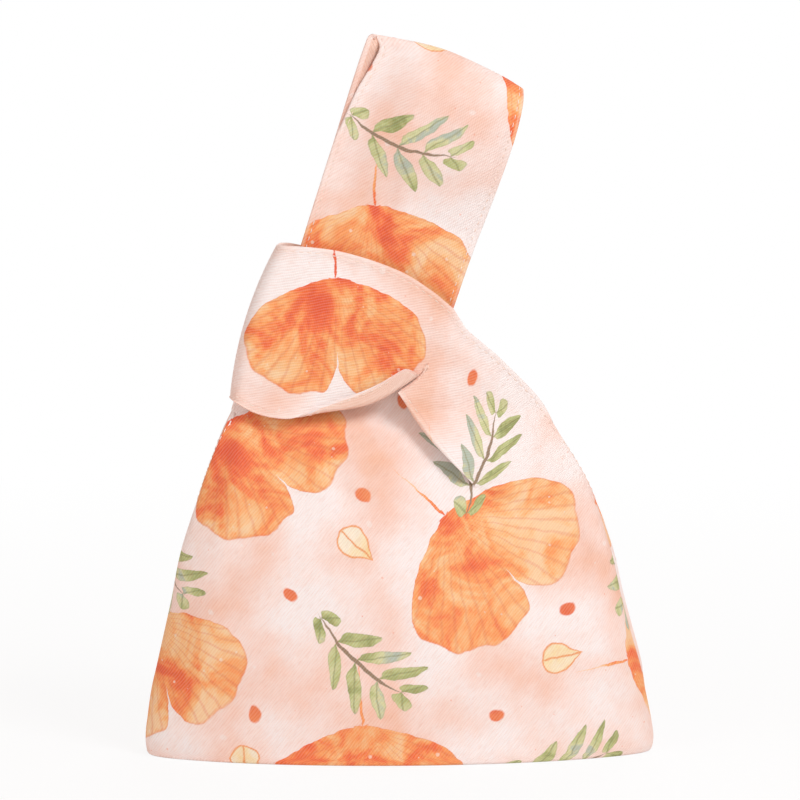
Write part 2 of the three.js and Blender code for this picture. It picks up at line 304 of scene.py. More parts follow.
def rollEdge(grid, flat, facing, last, length, radius, turn, sign, steps):
    # more columns past one edge: the cloth turns towards its outside (sign 1) or its inside (sign -1)
    normals = gridNormals(grid, facing)
    edge, inner = (-1, -2) if last else (0, 1)
    out = unit(grid[:, edge] - grid[:, inner])
    normal = normals[:, edge]
    normal = unit(normal - out * (normal * out).sum(1, keepdims=True))
    ways = [np.broadcast_to(np.asarray(v, float), len(grid)) for v in (length, radius, turn, sign)]
    length, radius, turn, sign = (way[:, None] for way in ways)
    run = length * np.arange(1, steps + 1) / steps
    angle = np.minimum(run / radius, turn)
    straight = run - angle * radius
    along = radius * np.sin(angle) + straight * np.cos(angle)
    aside = sign * (radius * (1 - np.cos(angle)) + straight * np.sin(angle))
    added = grid[:, edge, None] + out[:, None] * along[..., None] + normal[:, None] * aside[..., None]
    flatOut = unit(flat[:, edge] - flat[:, inner])
    addedFlat = flat[:, edge, None] + flatOut[:, None] * run[..., None]
    if last:
        return np.concatenate([grid, added], 1), np.concatenate([flat, addedFlat], 1)
    return np.concatenate([added[:, ::-1], grid], 1), np.concatenate([addedFlat[:, ::-1], flat], 1)


def turnEdge(grid, flat, facing, last, isSeam, free="hemTurn"):
    # an edge turned inwards: into the joint in a seam's rows, and the free way in the others
    ways = [np.where(isSeam, a, b) for a, b in zip(cloth["seamTurn"], cloth[free])]
    return rollEdge(grid, flat, facing, last, *ways, -1, cloth["turnSteps"])


def meshPiece(name, points, faces, material, flat=None, fromFold=None):
    made = bpy.data.meshes.new(name)
    made.from_pydata((points * mm).tolist(), [], faces)
    made.update()
    if flat is not None:
        corner = np.empty(len(made.loops), int)
        made.loops.foreach_get("vertex_index", corner)
        layer = made.uv_layers.new(name="flatCloth")
        layer.data.foreach_set("uv", (flat[corner] * mm).astype(np.float32).ravel())
        rubbed = made.attributes.new("fromFold", "FLOAT", "POINT")
        rubbed.data.foreach_set("value", fromFold.astype(np.float32))
    made.polygons.foreach_set("use_smooth", np.ones(len(made.polygons), bool))
    made.set_sharp_from_angle(angle=math.radians(cloth["sharpAngle"]))
    made.materials.append(material)
    piece = bpy.data.objects.new(name, made)
    bpy.context.scene.collection.objects.link(piece)
    return piece


def clothSheet(name, grid, flat, facing, outer, inner, material, folded=(0, -1)):
    # the outside face of a grid, sunk to two depths and closed round the rim; hems turn at the folded columns
    rows, columns = grid.shape[:2]
    count = rows * columns
    normals = gridNormals(grid, facing)
    points = np.concatenate([(grid - normals * depth).reshape(-1, 3) for depth in (outer, inner)])
    index = np.arange(count).reshape(rows, columns)
    quads = np.stack([index[:-1, :-1], index[:-1, 1:], index[1:, 1:], index[1:, :-1]], -1).reshape(-1, 4)
    rim = np.concatenate([index[0, :-1], index[:-1, -1], index[-1, :0:-1], index[:0:-1, 0]])
    after = np.roll(rim, -1)
    wall = np.stack([after, rim, rim + count, after + count], -1)
    faces = np.concatenate([quads, quads[:, ::-1] + count, wall])
    a, b, c, d = (points[faces[:, k]] for k in range(4))
    if (np.cross(b - a, c - a) * a).sum() + (np.cross(c - a, d - a) * a).sum() < 0:
        faces = faces[:, ::-1]
    place = lengthAlong(grid)
    fromFold = np.min([np.abs(place - place[:, k, None]) for k in folded], axis=0)
    bothFaces = np.tile(flat.reshape(-1, 2), (2, 1)), np.tile(fromFold.ravel(), 2)
    return meshPiece(name, points, faces.tolist(), material, *bothFaces)


def onCloth(flat, facing, corner):
    # where a piece is cut from the printed cloth; the back's pieces read from behind
    return flat * [-facing, 1] + corner


def flatSize(flat):
    # width, length and area of the cut cloth, in metres
    a, b, c, d = flat[:-1, :-1], flat[:-1, 1:], flat[1:, 1:], flat[1:, :-1]
    p, q = c - a, d - b
    area = np.abs(p[..., 0] * q[..., 1] - p[..., 1] * q[..., 0]).sum() / 2
    span = (flat.reshape(-1, 2).max(0) - flat.reshape(-1, 2).min(0)) * mm
    return span, area * mm * mm


def declareCloth(piece, node, flat):
    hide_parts(node)
    span, area = flatSize(flat)
    width, length = span / mm
    print(f"{piece.name}: cut {width:.0f} x {length:.0f} mm, {area * 1e4:.0f} square centimetres")
    tuple(span)


def dress(nodes, printed, lined, facing, folded, threads, move):
    # an outer cloth and its lining, each from a grid and its flat places, moved together with their threads
    depth = cloth["printed"] + cloth["between"]
    outer = clothSheet(f"{nodes[0]}_cloth", *printed, facing, 0, cloth["printed"], printedTwill, folded)
    inner = clothSheet(f"{nodes[1]}_cloth", *lined, facing, depth, depth + cloth["lining"], liningTwill)
    for piece in (outer, inner, *threads):
        move(piece)
    declareCloth(outer, nodes[0], printed[1])
    declareCloth(inner, nodes[1], lined[1])


stitch = {
    "pitch": 3.6,
    "seamPitch": 2.6,
    "length": 2.4,
    "longest": 0.8,  # share of the pitch
    "width": 0.42,
    "taper": 0.9,
    "stand": 0.16,
    "dive": 1.9,  # both ends go down into the cloth
    "sides": 6,
    "stations": 7,
    "fibre": 0.9,
    "fibreHeight": 0.05,
    "bump": 0.4,
    "shades": [(0.3, "#f4dccd"), (0.7, "#fdeee4")],
    "roughness": 0.55,
    "fuzz": 0.1,
}


def insetPath(grid, facing, last, rows=slice(None), under=0.0):
    # a line of stitches beside an edge, with its normals; under puts it on the other face of the cloth
    line, up = grid[rows], gridNormals(grid, facing)[rows]
    if last:
        line, up = line[:, ::-1], up[:, ::-1]
    place = lengthAlong(line)
    inset = cloth["stitchInset"]
    points, normals = (
        np.array([readAt(inset, place[r], values[r]) for r in range(len(line))]) for values in (line, up)
    )
    return (points - normals * under, -normals) if under else (points, normals)


def stitchRuns(name, runs, pitch=stitch["pitch"]):
    # lockstitches along lines on the cloth
    points, faces = [], []
    stations, sides = stitch["stations"], stitch["sides"]
    station = np.linspace(-1, 1, stations)
    swell = stitch["width"] / 2 * (1 - stitch["taper"] * station**4)
    bow = stitch["stand"] * (1 - stitch["dive"] * station**2)
    turn = np.arange(sides) / sides * 2 * np.pi
    index = np.arange(stations * sides).reshape(stations, sides)
    beside = np.roll(index, -1, axis=1)
    walls = np.stack([index[:-1], beside[:-1], beside[1:], index[1:]], -1).reshape(-1, 4)
    for path, normals in runs:
        place = lengthAlong(path)
        count = max(1, int(place[-1] / pitch))
        middles = (np.arange(count) + 0.5) / count * place[-1]
        reach = min(stitch["length"], stitch["longest"] * place[-1] / count) / 2
        at = middles[:, None] + station * reach
        centre = readAt(at, place, path)
        up = unit(readAt(at, place, normals))
        aside = unit(np.cross(unit(np.gradient(centre, axis=1)), up))
        ring = np.cos(turn)[:, None] * up[:, :, None] + np.sin(turn)[:, None] * aside[:, :, None]
        made = centre[:, :, None] + (up * bow[:, None])[:, :, None] + ring * swell[:, None, None]
        for one in made.reshape(count, -1, 3):
            shift = len(points) * stations * sides
            points.append(one)
            faces += (walls + shift).tolist()
            faces += [(index[0, ::-1] + shift).tolist(), (index[-1] + shift).tolist()]
    piece = meshPiece(f"{name}_thread", np.concatenate(points), faces, sewingThread)
    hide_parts(name)
    return piece


def sewSeam(name, path, outward):
    return stitchRuns(name, [(path, np.tile(outward, (len(path), 1)))], stitch["seamPitch"])


def sewSide(name, side, low, high, stations):
    # up a side seam, inside the joint
    edge = sideEdge(side, np.linspace(low, high, stations))
    path = np.stack([edge[:, 0] - side * cloth["seamSunk"], np.zeros(stations), edge[:, 1]], -1)
    return sewSeam(name, settle(path), (side, 0.0, 0.0))


# Materials

def linear(text):
    # sRGB hex to linear
    parts = [int(text[k:k + 2], 16) / 255 for k in (1, 3, 5)]
    return [p / 12.92 if p <= 0.04045 else ((p + 0.055) / 1.055) ** 2.4 for p in parts] + [1.0]


def setInputs(node, inputs):
    # constants and hex colours go on the sockets, and other nodes and their outputs are linked
    for key, value in inputs.items():
        if isinstance(value, bpy.types.Node):
            value = value.outputs[0]
        if isinstance(value, bpy.types.NodeSocket):
            node.id_data.links.new(value, node.inputs[key])
        else:
            node.inputs[key].default_value = linear(value) if isinstance(value, str) else value


def addNode(tree, kind, *values, stops=None, points=None, **settings):
    # values for the inputs in their order, or by name in a dictionary
    made = tree.nodes.new("ShaderNode" + kind)
    for key, value in settings.items():
        setattr(made, key, value)
    byName = values and isinstance(values[0], dict)
    setInputs(made, values[0] if byName else dict(enumerate(values)))
    for k, (place, colour) in enumerate(stops or []):
        if k >= len(made.color_ramp.elements):
            made.color_ramp.elements.new(1.0)
        made.color_ramp.elements[k].position = place
        made.color_ramp.elements[k].color = linear(colour)
    if points:
        curve = made.mapping.curves[0].points
        curve[0].location, curve[1].location = points[0], points[-1]
        for place in points[1:-1]:
            curve.new(*place)
        made.mapping.update()
    return made


def newMaterial(name):
    made = bpy.data.materials.new(name)
    made.use_nodes = True
    return made, partial(addNode, made.node_tree), made.node_tree.nodes["Principled BSDF"]


# Cotton twill, woven 3/1: slanted wales 0.7 mm apart on the real cloth, drawn at 1.2 mm so that they show
twill = {
    "wale": 1.2,
    "slant": 50,
    "thread": 0.85,
    "threadShift": 0.5,  # from one wale to the next
    "threadHeight": 0.35,  # beside a wale's 1
    "wander": 14,
    "wanderTurn": 8.0,
    "height": 0.16,
    "bump": 0.6,
    "paleTips": 0.16,
    "tipColour": "#fff9f6",
    # painted shade: the valleys of the weave are coloured darker, as shade would fall in them
    "valleyShadeStrength": 0.14,
    # the colour of the painted valley shade, also used for the uneven yarn flecks
    "valleyShadeAndFleckColour": "#d98f6d",
    "valleyShadeTop": 0.6,  # share of the height up to which the valleys get painted shade
    "fleck": 0.12,  # uneven yarn, long along the wale
    "fleckNoise": (0.5, 0.75),
    "fleckLength": 4.5,
    "fleckWidth": 1.1,
    "rubbed": 0.28,  # along the fold of a hem
    "rubbedWidth": 1.0,
    "rubbedColour": "#fff1ea",
    "roughness": 0.9,  # matt cotton
    "roughnessSpread": 0.06,
    "specular": 0.2,
    "fuzz": 0.12,
    "fuzzRoughness": 0.5,
    "fuzzColour": "#f9cdb8",
}


def clothPlace(add):
    # millimetres along the cut cloth
    flat = add("UVMap", uv_map="flatCloth")
    return add("VectorMath", {0: flat, "Scale": 1 / mm}, operation="SCALE")


def weave(add, shader, place, colour):
    # wales and threads as bump, with paler fibre tips on the raised ones and painted shade darkening the
    # valleys between them; the fold of a hem is rubbed pale
    slant = math.radians(twill["slant"])
    waleStep, threadStep = (2 * math.pi / twill[key] for key in ("wale", "thread"))
    acrossWale = (waleStep * math.sin(slant), -waleStep * math.cos(slant), 0)
    alongWale = (threadStep * math.cos(slant), threadStep * math.sin(slant), 0)
    wander = add(
        "TexNoise", {"Vector": place, "Scale": 1 / twill["wander"], "Detail": 2}, noise_dimensions="2D",
    )
    wale = add("VectorMath", place, acrossWale, operation="DOT_PRODUCT").outputs["Value"]
    wale = add("Math", wander, twill["wanderTurn"], wale, operation="MULTIPLY_ADD")
    thread = add("VectorMath", place, alongWale, operation="DOT_PRODUCT").outputs["Value"]
    thread = add("Math", wale, twill["threadShift"], thread, operation="MULTIPLY_ADD")
    wale = add("Math", wale, operation="SINE")
    thread = add("Math", thread, operation="SINE")
    height = add("Math", thread, twill["threadHeight"], wale, operation="MULTIPLY_ADD")
    most = 1 + twill["threadHeight"]
    height = add("MapRange", height, -most, most, 0.0, 1.0)

    tips = add("Math", height, twill["paleTips"], operation="MULTIPLY")
    colour = add("MixRGB", tips, colour, twill["tipColour"])
    # painted shade: darker colour in the low parts of the weave
    paintedValleyShade = add("MapRange", height, 0.0, twill["valleyShadeTop"], twill["valleyShadeStrength"], 0.0)
    colour = add("MixRGB", paintedValleyShade, colour, twill["valleyShadeAndFleckColour"])
    turned = add("VectorRotate", {"Vector": place, "Angle": -slant}, rotation_type="Z_AXIS")
    yarn = (1 / twill["fleckLength"], 1 / twill["fleckWidth"], 0)
    drawn = add("VectorMath", turned, yarn, operation="MULTIPLY")
    fleck = add("TexNoise", {"Vector": drawn, "Scale": 1.0, "Detail": 2}, noise_dimensions="2D")
    fleck = add("MapRange", fleck, *twill["fleckNoise"], 0.0, twill["fleck"])
    colour = add("MixRGB", fleck, colour, twill["valleyShadeAndFleckColour"])
    fold = add("Attribute", attribute_name="fromFold").outputs["Fac"]
    rubbed = add("MapRange", fold, 0.0, twill["rubbedWidth"], twill["rubbed"], 0.0)
    colour = add("MixRGB", rubbed, colour, twill["rubbedColour"])

    bump = add("Bump", {"Strength": twill["bump"], "Distance": twill["height"] * mm, "Height": height})
    dullest = twill["roughness"] + twill["roughnessSpread"]
    smoothest = twill["roughness"] - twill["roughnessSpread"]
    dull = add("MapRange", height, 0.0, 1.0, dullest, smoothest)
    setInputs(shader, {
        "Base Color": colour,
        "Roughness": dull,
        "Normal": bump,
        "Specular IOR Level": twill["specular"],
        "Sheen Weight": twill["fuzz"],
        "Sheen Roughness": twill["fuzzRoughness"],
        "Sheen Tint": twill["fuzzColour"],
    })


# Print: fan leaves, fern sprigs, drops and dots in one cell, repeated with a turned and jittered step
design = {
    "cell": 108,  # lengths in millimetres
    "turn": 27,
    "jitter": 0.08,
    # places in the cell, as shares of it
    "fan": (0, 0),
    "sprig": (0.22, 0.67),
    "drop": (0.45, 0.23),
    "dots": [(0.58, 0.55), (0.5, 0.03)],
    "start": (-75, 48),
    "wander": 2.6,  # how far a painted edge strays
    "wanderLength": 9,
    "softEdge": 0.35,
    "fineEdge": 0.25,
    "bloom": 24,  # uneven paint
    "bloomNoise": (0.3, 0.7),
    "grain": 4,
    "grainStrength": 0.3,
    "wash": 54,
    "washShades": [(0.38, "#fff9f8"), (0.5, "#ffebe4"), (0.62, "#fcd9cb"), (0.76, "#f7c0a3")],
    # round marks: cell, chance, largest share of the cell, colour and strength
    "splash": (15, 0.4, 0.11, "#fff4ef", 0.55),
    "speck": (7.5, 0.16, 0.06, "#ef9a72", 0.6),
    "fanSpeck": (7.5, 0.28, 0.12, "#ffe9d6", 0.7),
    "noMark": -0.03,  # size in the other cells
    "markEdge": 0.02,
    "dotRadius": 2.7,
    "dotStretch": (1.0, 0.72, 0.0),
    "dotShades": [(0.35, "#e9622c"), (0.65, "#f58a4a")],
    # outlines: share of half a turn, and share of the size
    "dropSize": 12.5,
    "dropShape": [(0, 1), (0.05, 0.78), (0.14, 0.62), (0.4, 0.56), (0.7, 0.6), (1, 0.62)],
    "dropShades": [(0.3, "#fdf3dc"), (0.65, "#fdeac0"), (1.0, "#fadb94")],
    "dropLine": 0.8,
    "dropLineColour": "#f3a15f",
    "dropRib": 0.4,
    "dropRibColour": "#f0a05c",
    "fanReach": 55,
    "fanSpread": 8,
    "fanRise": 17,
    "fanShape": [
        (0, 0.58), (0.02, 0.84), (0.06, 0.95), (0.18, 1), (0.29, 0.95), (0.36, 0.8), (0.41, 0.5),
        (0.46, 0.16), (0.55, 0.05), (0.94, 0.05), (0.985, 0.2), (1, 0.54),
    ],
    "fanShades": [
        (0.1, "#ea4c08"), (0.3, "#f86f28"), (0.48, "#fea255"), (0.65, "#fec686"), (0.85, "#fed7a8"),
    ],
    "fanPaler": 0.35,  # towards the rim
    "fanOwn": 0.3,  # from one fan to another
    "fanTones": (0.3, 1.7),
    "fanWaves": 19.0,
    "fanWave": 0.014,
    "fanVeins": 52.0,
    "fanVeinFrom": 0.55,  # of a wave
    "fanVein": 0.3,
    "fanVeinColour": "#e2622d",
    "fanRim": 1.5,
    "fanRimStrength": 0.5,
    "fanRimColour": "#e8662f",
    "sprigHalf": 31,
    "sprigStep": 12,
    "sprigReach": 19,
    "sprigBend": 0.007,
    "sprigSlant": 0.85,
    "sprigShades": [(0.2, "#8f9e58"), (0.5, "#bbc884"), (0.8, "#dbdfab"), (1.0, "#b4c6b6")],
    "leafletHalf": 4.4,
    "leafletShape": [(0, 0), (0.12, 0.3), (0.42, 1), (0.75, 0.7), (1, 0)],
    "leafletVein": (0.2, 0.7),  # full and faded
    "leafletVeinStrength": 0.6,
    "leafletVeinColour": "#7d8a50",
    "leafletRim": 0.8,
    "leafletRimStrength": 0.45,
    "leafletRimColour": "#8e9c5a",
    "stemHalf": 0.9,
    "stemTip": -0.4,  # below zero for a pointed end
    "stemEdge": 0.2,
    "stemColour": "#8d7a5e",
}


def scatter(add, hand, shift):
    # one motif in each cell: its place, turned at random, and three random numbers
    cell = design["cell"]
    moved = add("VectorMath", hand, (shift[0] * cell, shift[1] * cell, 0), operation="ADD")
    cells = add(
        "TexVoronoi", {"Vector": moved, "Scale": 1 / cell, "Randomness": design["jitter"]},
        voronoi_dimensions="2D",
    )
    draw = add("SeparateColor", cells.outputs["Color"])
    local = add("VectorMath", moved, cells.outputs["Position"], operation="SUBTRACT")
    angle = add("Math", draw, 2 * math.pi, operation="MULTIPLY")
    return add("VectorRotate", {"Vector": local, "Angle": angle}, rotation_type="Z_AXIS"), draw


def paint(add, under, inside, colour, edge=design["softEdge"], strength=1.0):
    # colour where inside, a distance in millimetres, is above zero
    mask = add("MapRange", inside, -edge, edge, 0.0, strength)
    return add("MixRGB", mask, under, colour)


def sprinkle(add, place, under, cell, chance, largest, colour, strength):
    # small round marks of several sizes, in some cells only
    marks = add("TexVoronoi", {"Vector": place, "Scale": 1 / cell}, voronoi_dimensions="2D")
    draw = add("SeparateColor", marks.outputs["Color"])
    size = add("MapRange", draw, 1 - chance, 1.0, design["noMark"], largest)
    inside = add("Math", size, marks.outputs["Distance"], operation="SUBTRACT")
    return paint(add, under, inside, colour, design["markEdge"], strength)


def polar(add, local):
    # axes, angle from straight up, its share of half a turn, and distance
    axes = add("SeparateXYZ", local)
    angle = add("Math", axes.outputs[0], axes.outputs[1], operation="ARCTAN2")
    share = add("Math", angle, operation="ABSOLUTE")
    share = add("Math", share, math.pi, operation="DIVIDE")
    away = add("VectorMath", local, operation="LENGTH").outputs["Value"]
    return axes, angle, share, away


def washGround(add, place, hand):
    wash = add(
        "TexNoise", {"Vector": place, "Scale": 1 / design["wash"], "Detail": 5, "Roughness": 0.5},
        noise_dimensions="2D",
    )
    colour = add("ValToRGB", wash, stops=design["washShades"])
    colour = sprinkle(add, hand, colour, *design["splash"])
    return sprinkle(add, hand, colour, *design["speck"])


def paintDots(add, colour, hand, bloom):
    shade = add("ValToRGB", bloom, stops=design["dotShades"])
    for shift in design["dots"]:
        local, _ = scatter(add, hand, shift)
        oval = add("VectorMath", local, design["dotStretch"], operation="MULTIPLY")
        away = add("VectorMath", oval, operation="LENGTH").outputs["Value"]
        inside = add("Math", design["dotRadius"], away, operation="SUBTRACT")
        colour = paint(add, colour, inside, shade)
    return colour


def paintDrops(add, colour, hand, tone):
    # drops with a fine outline and a rib
    local, _ = scatter(add, hand, design["drop"])
    axes, _, share, away = polar(add, local)
    shape = add("FloatCurve", {1: share}, points=design["dropShape"])
    reach = add("Math", shape, design["dropSize"], operation="MULTIPLY")
    inside = add("Math", reach, away, operation="SUBTRACT")
    shade = add("ValToRGB", tone, stops=design["dropShades"])
    line = add("Math", inside, design["dropLine"], operation="SUBTRACT")
    colour = paint(add, colour, inside, design["dropLineColour"], design["fineEdge"])
    colour = paint(add, colour, line, shade, design["fineEdge"])
    rib = add("Math", axes.outputs[0], operation="ABSOLUTE")
    rib = add("Math", rib, -1.0, design["dropRib"], operation="MULTIPLY_ADD")
    rib = add("Math", rib, line, operation="MINIMUM")
    return paint(add, colour, rib, design["dropRibColour"], design["fineEdge"])


def paintFans(add, colour, hand, tone, place):
    # fan leaves: a notched blade with fine veins on a tapered stalk
    local, draw = scatter(add, hand, design["fan"])
    local = add("VectorMath", local, (0, design["fanRise"], 0), operation="ADD")
    _, angle, share, away = polar(add, local)
    shape = add("FloatCurve", {1: share}, points=design["fanShape"])
    waves = add("Math", angle, design["fanWaves"], operation="MULTIPLY")
    waves = add("Math", waves, operation="SINE")
    shape = add("Math", waves, design["fanWave"], shape, operation="MULTIPLY_ADD")
    size = add("Math", draw.outputs[1], design["fanSpread"], design["fanReach"], operation="MULTIPLY_ADD")
    reach = add("Math", shape, size, operation="MULTIPLY")
    inside = add("Math", reach, away, operation="SUBTRACT")
    depth = add("Math", away, size, operation="DIVIDE")
    depth = add("Math", depth, design["fanPaler"], tone, operation="MULTIPLY_ADD")
    depth = add("Math", draw.outputs[2], design["fanOwn"], depth, operation="MULTIPLY_ADD")
    depth = add("MapRange", depth, *design["fanTones"], 0.0, 1.0)
    shade = add("ValToRGB", depth, stops=design["fanShades"])
    veins = add("Math", angle, design["fanVeins"], operation="MULTIPLY")
    veins = add("Math", veins, operation="SINE")
    veins = add("MapRange", veins, design["fanVeinFrom"], 1.0, 0.0, design["fanVein"])
    shade = add("MixRGB", veins, shade, design["fanVeinColour"])
    rim = add("MapRange", inside, 0.0, design["fanRim"], design["fanRimStrength"], 0.0)
    shade = add("MixRGB", rim, shade, design["fanRimColour"])
    shade = sprinkle(add, place, shade, *design["fanSpeck"])
    return paint(add, colour, inside, shade)


def paintSprigs(add, colour, hand, tone):
    # fern sprigs: slanted leaflets on both sides of a bent stem
    local, _ = scatter(add, hand, design["sprig"])
    axes = add("SeparateXYZ", local)
    square = add("Math", axes.outputs[1], axes.outputs[1], operation="MULTIPLY")
    side = add("Math", square, design["sprigBend"], axes.outputs[0], operation="MULTIPLY_ADD")
    side = add("Math", side, operation="ABSOLUTE")
    along = add("Math", side, -design["sprigSlant"], axes.outputs[1], operation="MULTIPLY_ADD")
    half = design["sprigStep"] / 2
    aside = add("Math", along, half, -half, operation="WRAP")
    root = add("Math", along, aside, operation="SUBTRACT")
    root = add("Math", root, design["sprigHalf"], operation="DIVIDE")
    root = add("Math", root, root, operation="MULTIPLY")
    reach = add("MapRange", root, 0.0, 1.0, design["sprigReach"], 0.01)
    share = add("Math", side, reach, operation="DIVIDE", use_clamp=True)
    bulge = add("FloatCurve", {1: share}, points=design["leafletShape"])
    aside = add("Math", aside, operation="ABSOLUTE")
    leaf = add("Math", bulge, design["leafletHalf"], -design["fineEdge"], operation="MULTIPLY_ADD")
    inside = add("Math", leaf, aside, operation="SUBTRACT")
    shade = add("ValToRGB", tone, stops=design["sprigShades"])
    vein = add("MapRange", aside, *design["leafletVein"], design["leafletVeinStrength"], 0.0)
    shade = add("MixRGB", vein, shade, design["leafletVeinColour"])
    rim = add("MapRange", inside, 0.0, design["leafletRim"], design["leafletRimStrength"], 0.0)
    shade = add("MixRGB", rim, shade, design["leafletRimColour"])
    colour = paint(add, colour, inside, shade, design["fineEdge"])
    longest = design["sprigHalf"] ** 2
    stem = add("MapRange", square, 0.0, longest, design["stemHalf"], design["stemTip"])
    stem = add("Math", stem, side, operation="SUBTRACT")
    return paint(add, colour, stem, design["stemColour"], design["stemEdge"])


def printColour(add, place):
    # hand is the cloth's own place with a painted edge's stray, in the design's turned step
    stray = add(
        "TexNoise", {"Vector": place, "Scale": 1 / design["wanderLength"], "Detail": 3},
        noise_dimensions="2D",
    )
    spread = (design["wander"], design["wander"], 0)
    hand = add("VectorMath", stray.outputs["Color"], spread, place, operation="MULTIPLY_ADD")
    hand = add("VectorMath", hand, (*design["start"], 0), operation="ADD")
    turn = math.radians(design["turn"])
    hand = add("VectorRotate", {"Vector": hand, "Angle": turn}, rotation_type="Z_AXIS")
    bloom = add(
        "TexNoise",
        {"Vector": place, "Scale": 1 / design["bloom"], "Detail": 5, "Roughness": 0.6, "Distortion": 0.5},
        noise_dimensions="2D",
    )
    grain = add(
        "TexNoise", {"Vector": place, "Scale": 1 / design["grain"], "Detail": 3}, noise_dimensions="2D",
    )
    tone = add("MapRange", bloom, *design["bloomNoise"], 0.0, 1.0)
    tone = add("Math", grain, design["grainStrength"], tone, operation="MULTIPLY_ADD")
    colour = washGround(add, place, hand)
    colour = paintDots(add, colour, hand, bloom)
    colour = paintDrops(add, colour, hand, tone)
    colour = paintFans(add, colour, hand, tone, place)
    return paintSprigs(add, colour, hand, tone)


def makePrintedTwill():
    # printed cotton twill: matt, the dye paler on the fibre tips, watery colour edges
    made, add, shader = newMaterial("printed cotton twill")
    place = clothPlace(add)
    weave(add, shader, place, printColour(add, place))
    return made


plainTwill = {"cloud": 20, "shades": [(0.3, "#f6d0bd"), (0.7, "#f9dacb")]}


def makeLiningTwill():
    # plain dyed cotton twill: matt and nearly even, a little cloudy
    made, add, shader = newMaterial("plain cotton twill")
    place = clothPlace(add)
    cloud = add(
        "TexNoise", {"Vector": place, "Scale": 1 / plainTwill["cloud"], "Detail": 3},
        noise_dimensions="2D",
    )
    weave(add, shader, place, add("ValToRGB", cloud, stops=plainTwill["shades"]))
    return made


def makeThread():
    # spun polyester: smooth twisted thread with a soft lustre
    made, add, shader = newMaterial("polyester sewing thread")
    place = add("NewGeometry")
    fibre = add("TexNoise", {"Vector": place, "Scale": 1 / (stitch["fibre"] * mm), "Detail": 2})
    colour = add("ValToRGB", fibre, stops=stitch["shades"])
    bump = add("Bump", {"Strength": stitch["bump"], "Distance": stitch["fibreHeight"] * mm, "Height": fibre})
    setInputs(shader, {
        "Base Color": colour,
        "Roughness": stitch["roughness"],
        "Normal": bump,
        "Sheen Weight": stitch["fuzz"],
    })
    return made


printedTwill = makePrintedTwill()
liningTwill = makeLiningTwill()
sewingThread = makeThread()
print("cloth and thread materials made")

# Landmarks of the short handle's cloth on the picture plane
flap = {
    "tip": (24.7, -49),  # folded corner, across and along the long handle
    "hairpin": (33.6, -34.5),
    "pleatLength": 55.7,
    "pleatAngle": 51,
    "pleatBow": 1.2,
    "slit": 1.2,  # the flap's top edge stands off the cuff
    "lift": 5.0,
    "liftPower": 1.6,  # steep towards the free edge
    # shares of its length, from the hairpin or from the seam
    "liftRise": 0.3,
    "liftFall": 0.45,
    "clearFall": 0.15,
    "settleFree": 0.85,  # where the free edge and the side reach the body's depth
    "settleSide": 0.72,
    "foldSooner": 0.28,
    "clear": 2.0,  # at least so far above the panel
    "tuck": (24, 4),  # the panel's corner goes in under the flap's
}
pleat = math.radians(flap["pleatAngle"])
flapTip = onHandle(*flap["tip"])
hairpin = onHandle(*flap["hairpin"])
pleatTip = flapTip + flap["pleatLength"] * np.array([math.cos(pleat), -math.sin(pleat)])
shoulderCut = sideEdge(1, body["shoulderCut"])
pleatSide = np.array([math.sin(pleat), math.cos(pleat)])
slitSide = unit(np.array([hairpin[1] - flapTip[1], flapTip[0] - hairpin[0]]))

# Body panel: half of the bottom, the wall, the chest and the long handle's root
panel = {
    "columns": 110,
    "bottomRows": 8,
    "edgeRows": 7,
    "wallRows": 44,
    "chestRows": 22,
    "rootRows": 16,
    "rootAlong": -22,  # the root ends under the short handle
    "handleHalf": 36.5,
    "rootFlare": 5,
    "flareAlong": -37,
    "rootStitch": 1,  # topstitches leave out the tight turn below the root
    "armholeStitch": 7,
    "dip": 8.0,  # the cloth sinks beside and under the flap
    "dipShare": 0.45,
    "dipFrom": -26,
    "dipTo": 5,
    "dipRise": 9,
    "dipSlope": 0.5,
    "quietFoot": 18,  # no folds at the bottom edge and the side seams
    "quietSide": 0.12,
    "frontCreases": [
        (-64, 154, -44, 122, 7, -2.4),
        (-72, 154, -78, 112, 7, 1.8),
        (-52, 152, -8, 132, 5, 1.1),
        (-40, 150, -22, 112, 5, -1.2),
        (34, 121, 46, 98, 5, -1.2),
        (28, 112, 62, 92, 7, 0.8),
        (-96, 40, -52, 96, 9, 0.9),
        (-104, 14, -70, 44, 8, -0.9),
        (96, 16, 66, 52, 8, -0.8),
        (10, 14, 26, 96, 14, 0.9),
    ],
    "backCreases": [
        (-70, 150, -30, 110, 7, -1.3),
        (40, 120, 20, 84, 7, -1.1),
        (-90, 30, -56, 84, 9, 0.9),
        (92, 18, 60, 66, 9, 0.9),
        (-10, 20, -22, 100, 14, 0.9),
    ],
    "rippleLength": 60,
    "ripple": 0.45,
    "frontSeed": 11,
    "backSeed": 12,
    # corners on the printed cloth
    "frontCut": (0, 0),
    "backCut": (420, 60),
}


def panelFold(x, z, facing):
    # how far folds move the body cloth outwards
    face = "front" if facing < 0 else "back"
    share = np.abs(x) / halfWidth(x, np.minimum(z, body["closingHeight"]))
    quiet = ease(z, 0, panel["quietFoot"]) * ease(1 - share, 0.0, panel["quietSide"])
    waves = panel["ripple"] * ripple(x, z, panel["rippleLength"], panel[f"{face}Seed"])
    return quiet * (creaseHeight(panel[f"{face}Creases"], x, z) + waves)


def panelDepth(x, z, facing):
    beyond = (x - pleatTip[0]) * pleatSide[0] + (z - pleatTip[1]) * pleatSide[1]
    above = z - pleatTip[1] + panel["dipSlope"] * np.maximum(-beyond, 0)
    depth = bodyDepth(x, z)
    sunk = np.minimum(panel["dip"], panel["dipShare"] * depth)
    sunk = sunk * ease(beyond, panel["dipFrom"], panel["dipTo"]) * ease(above, 0, panel["dipRise"])
    return depth + panelFold(x, z, facing) - sunk


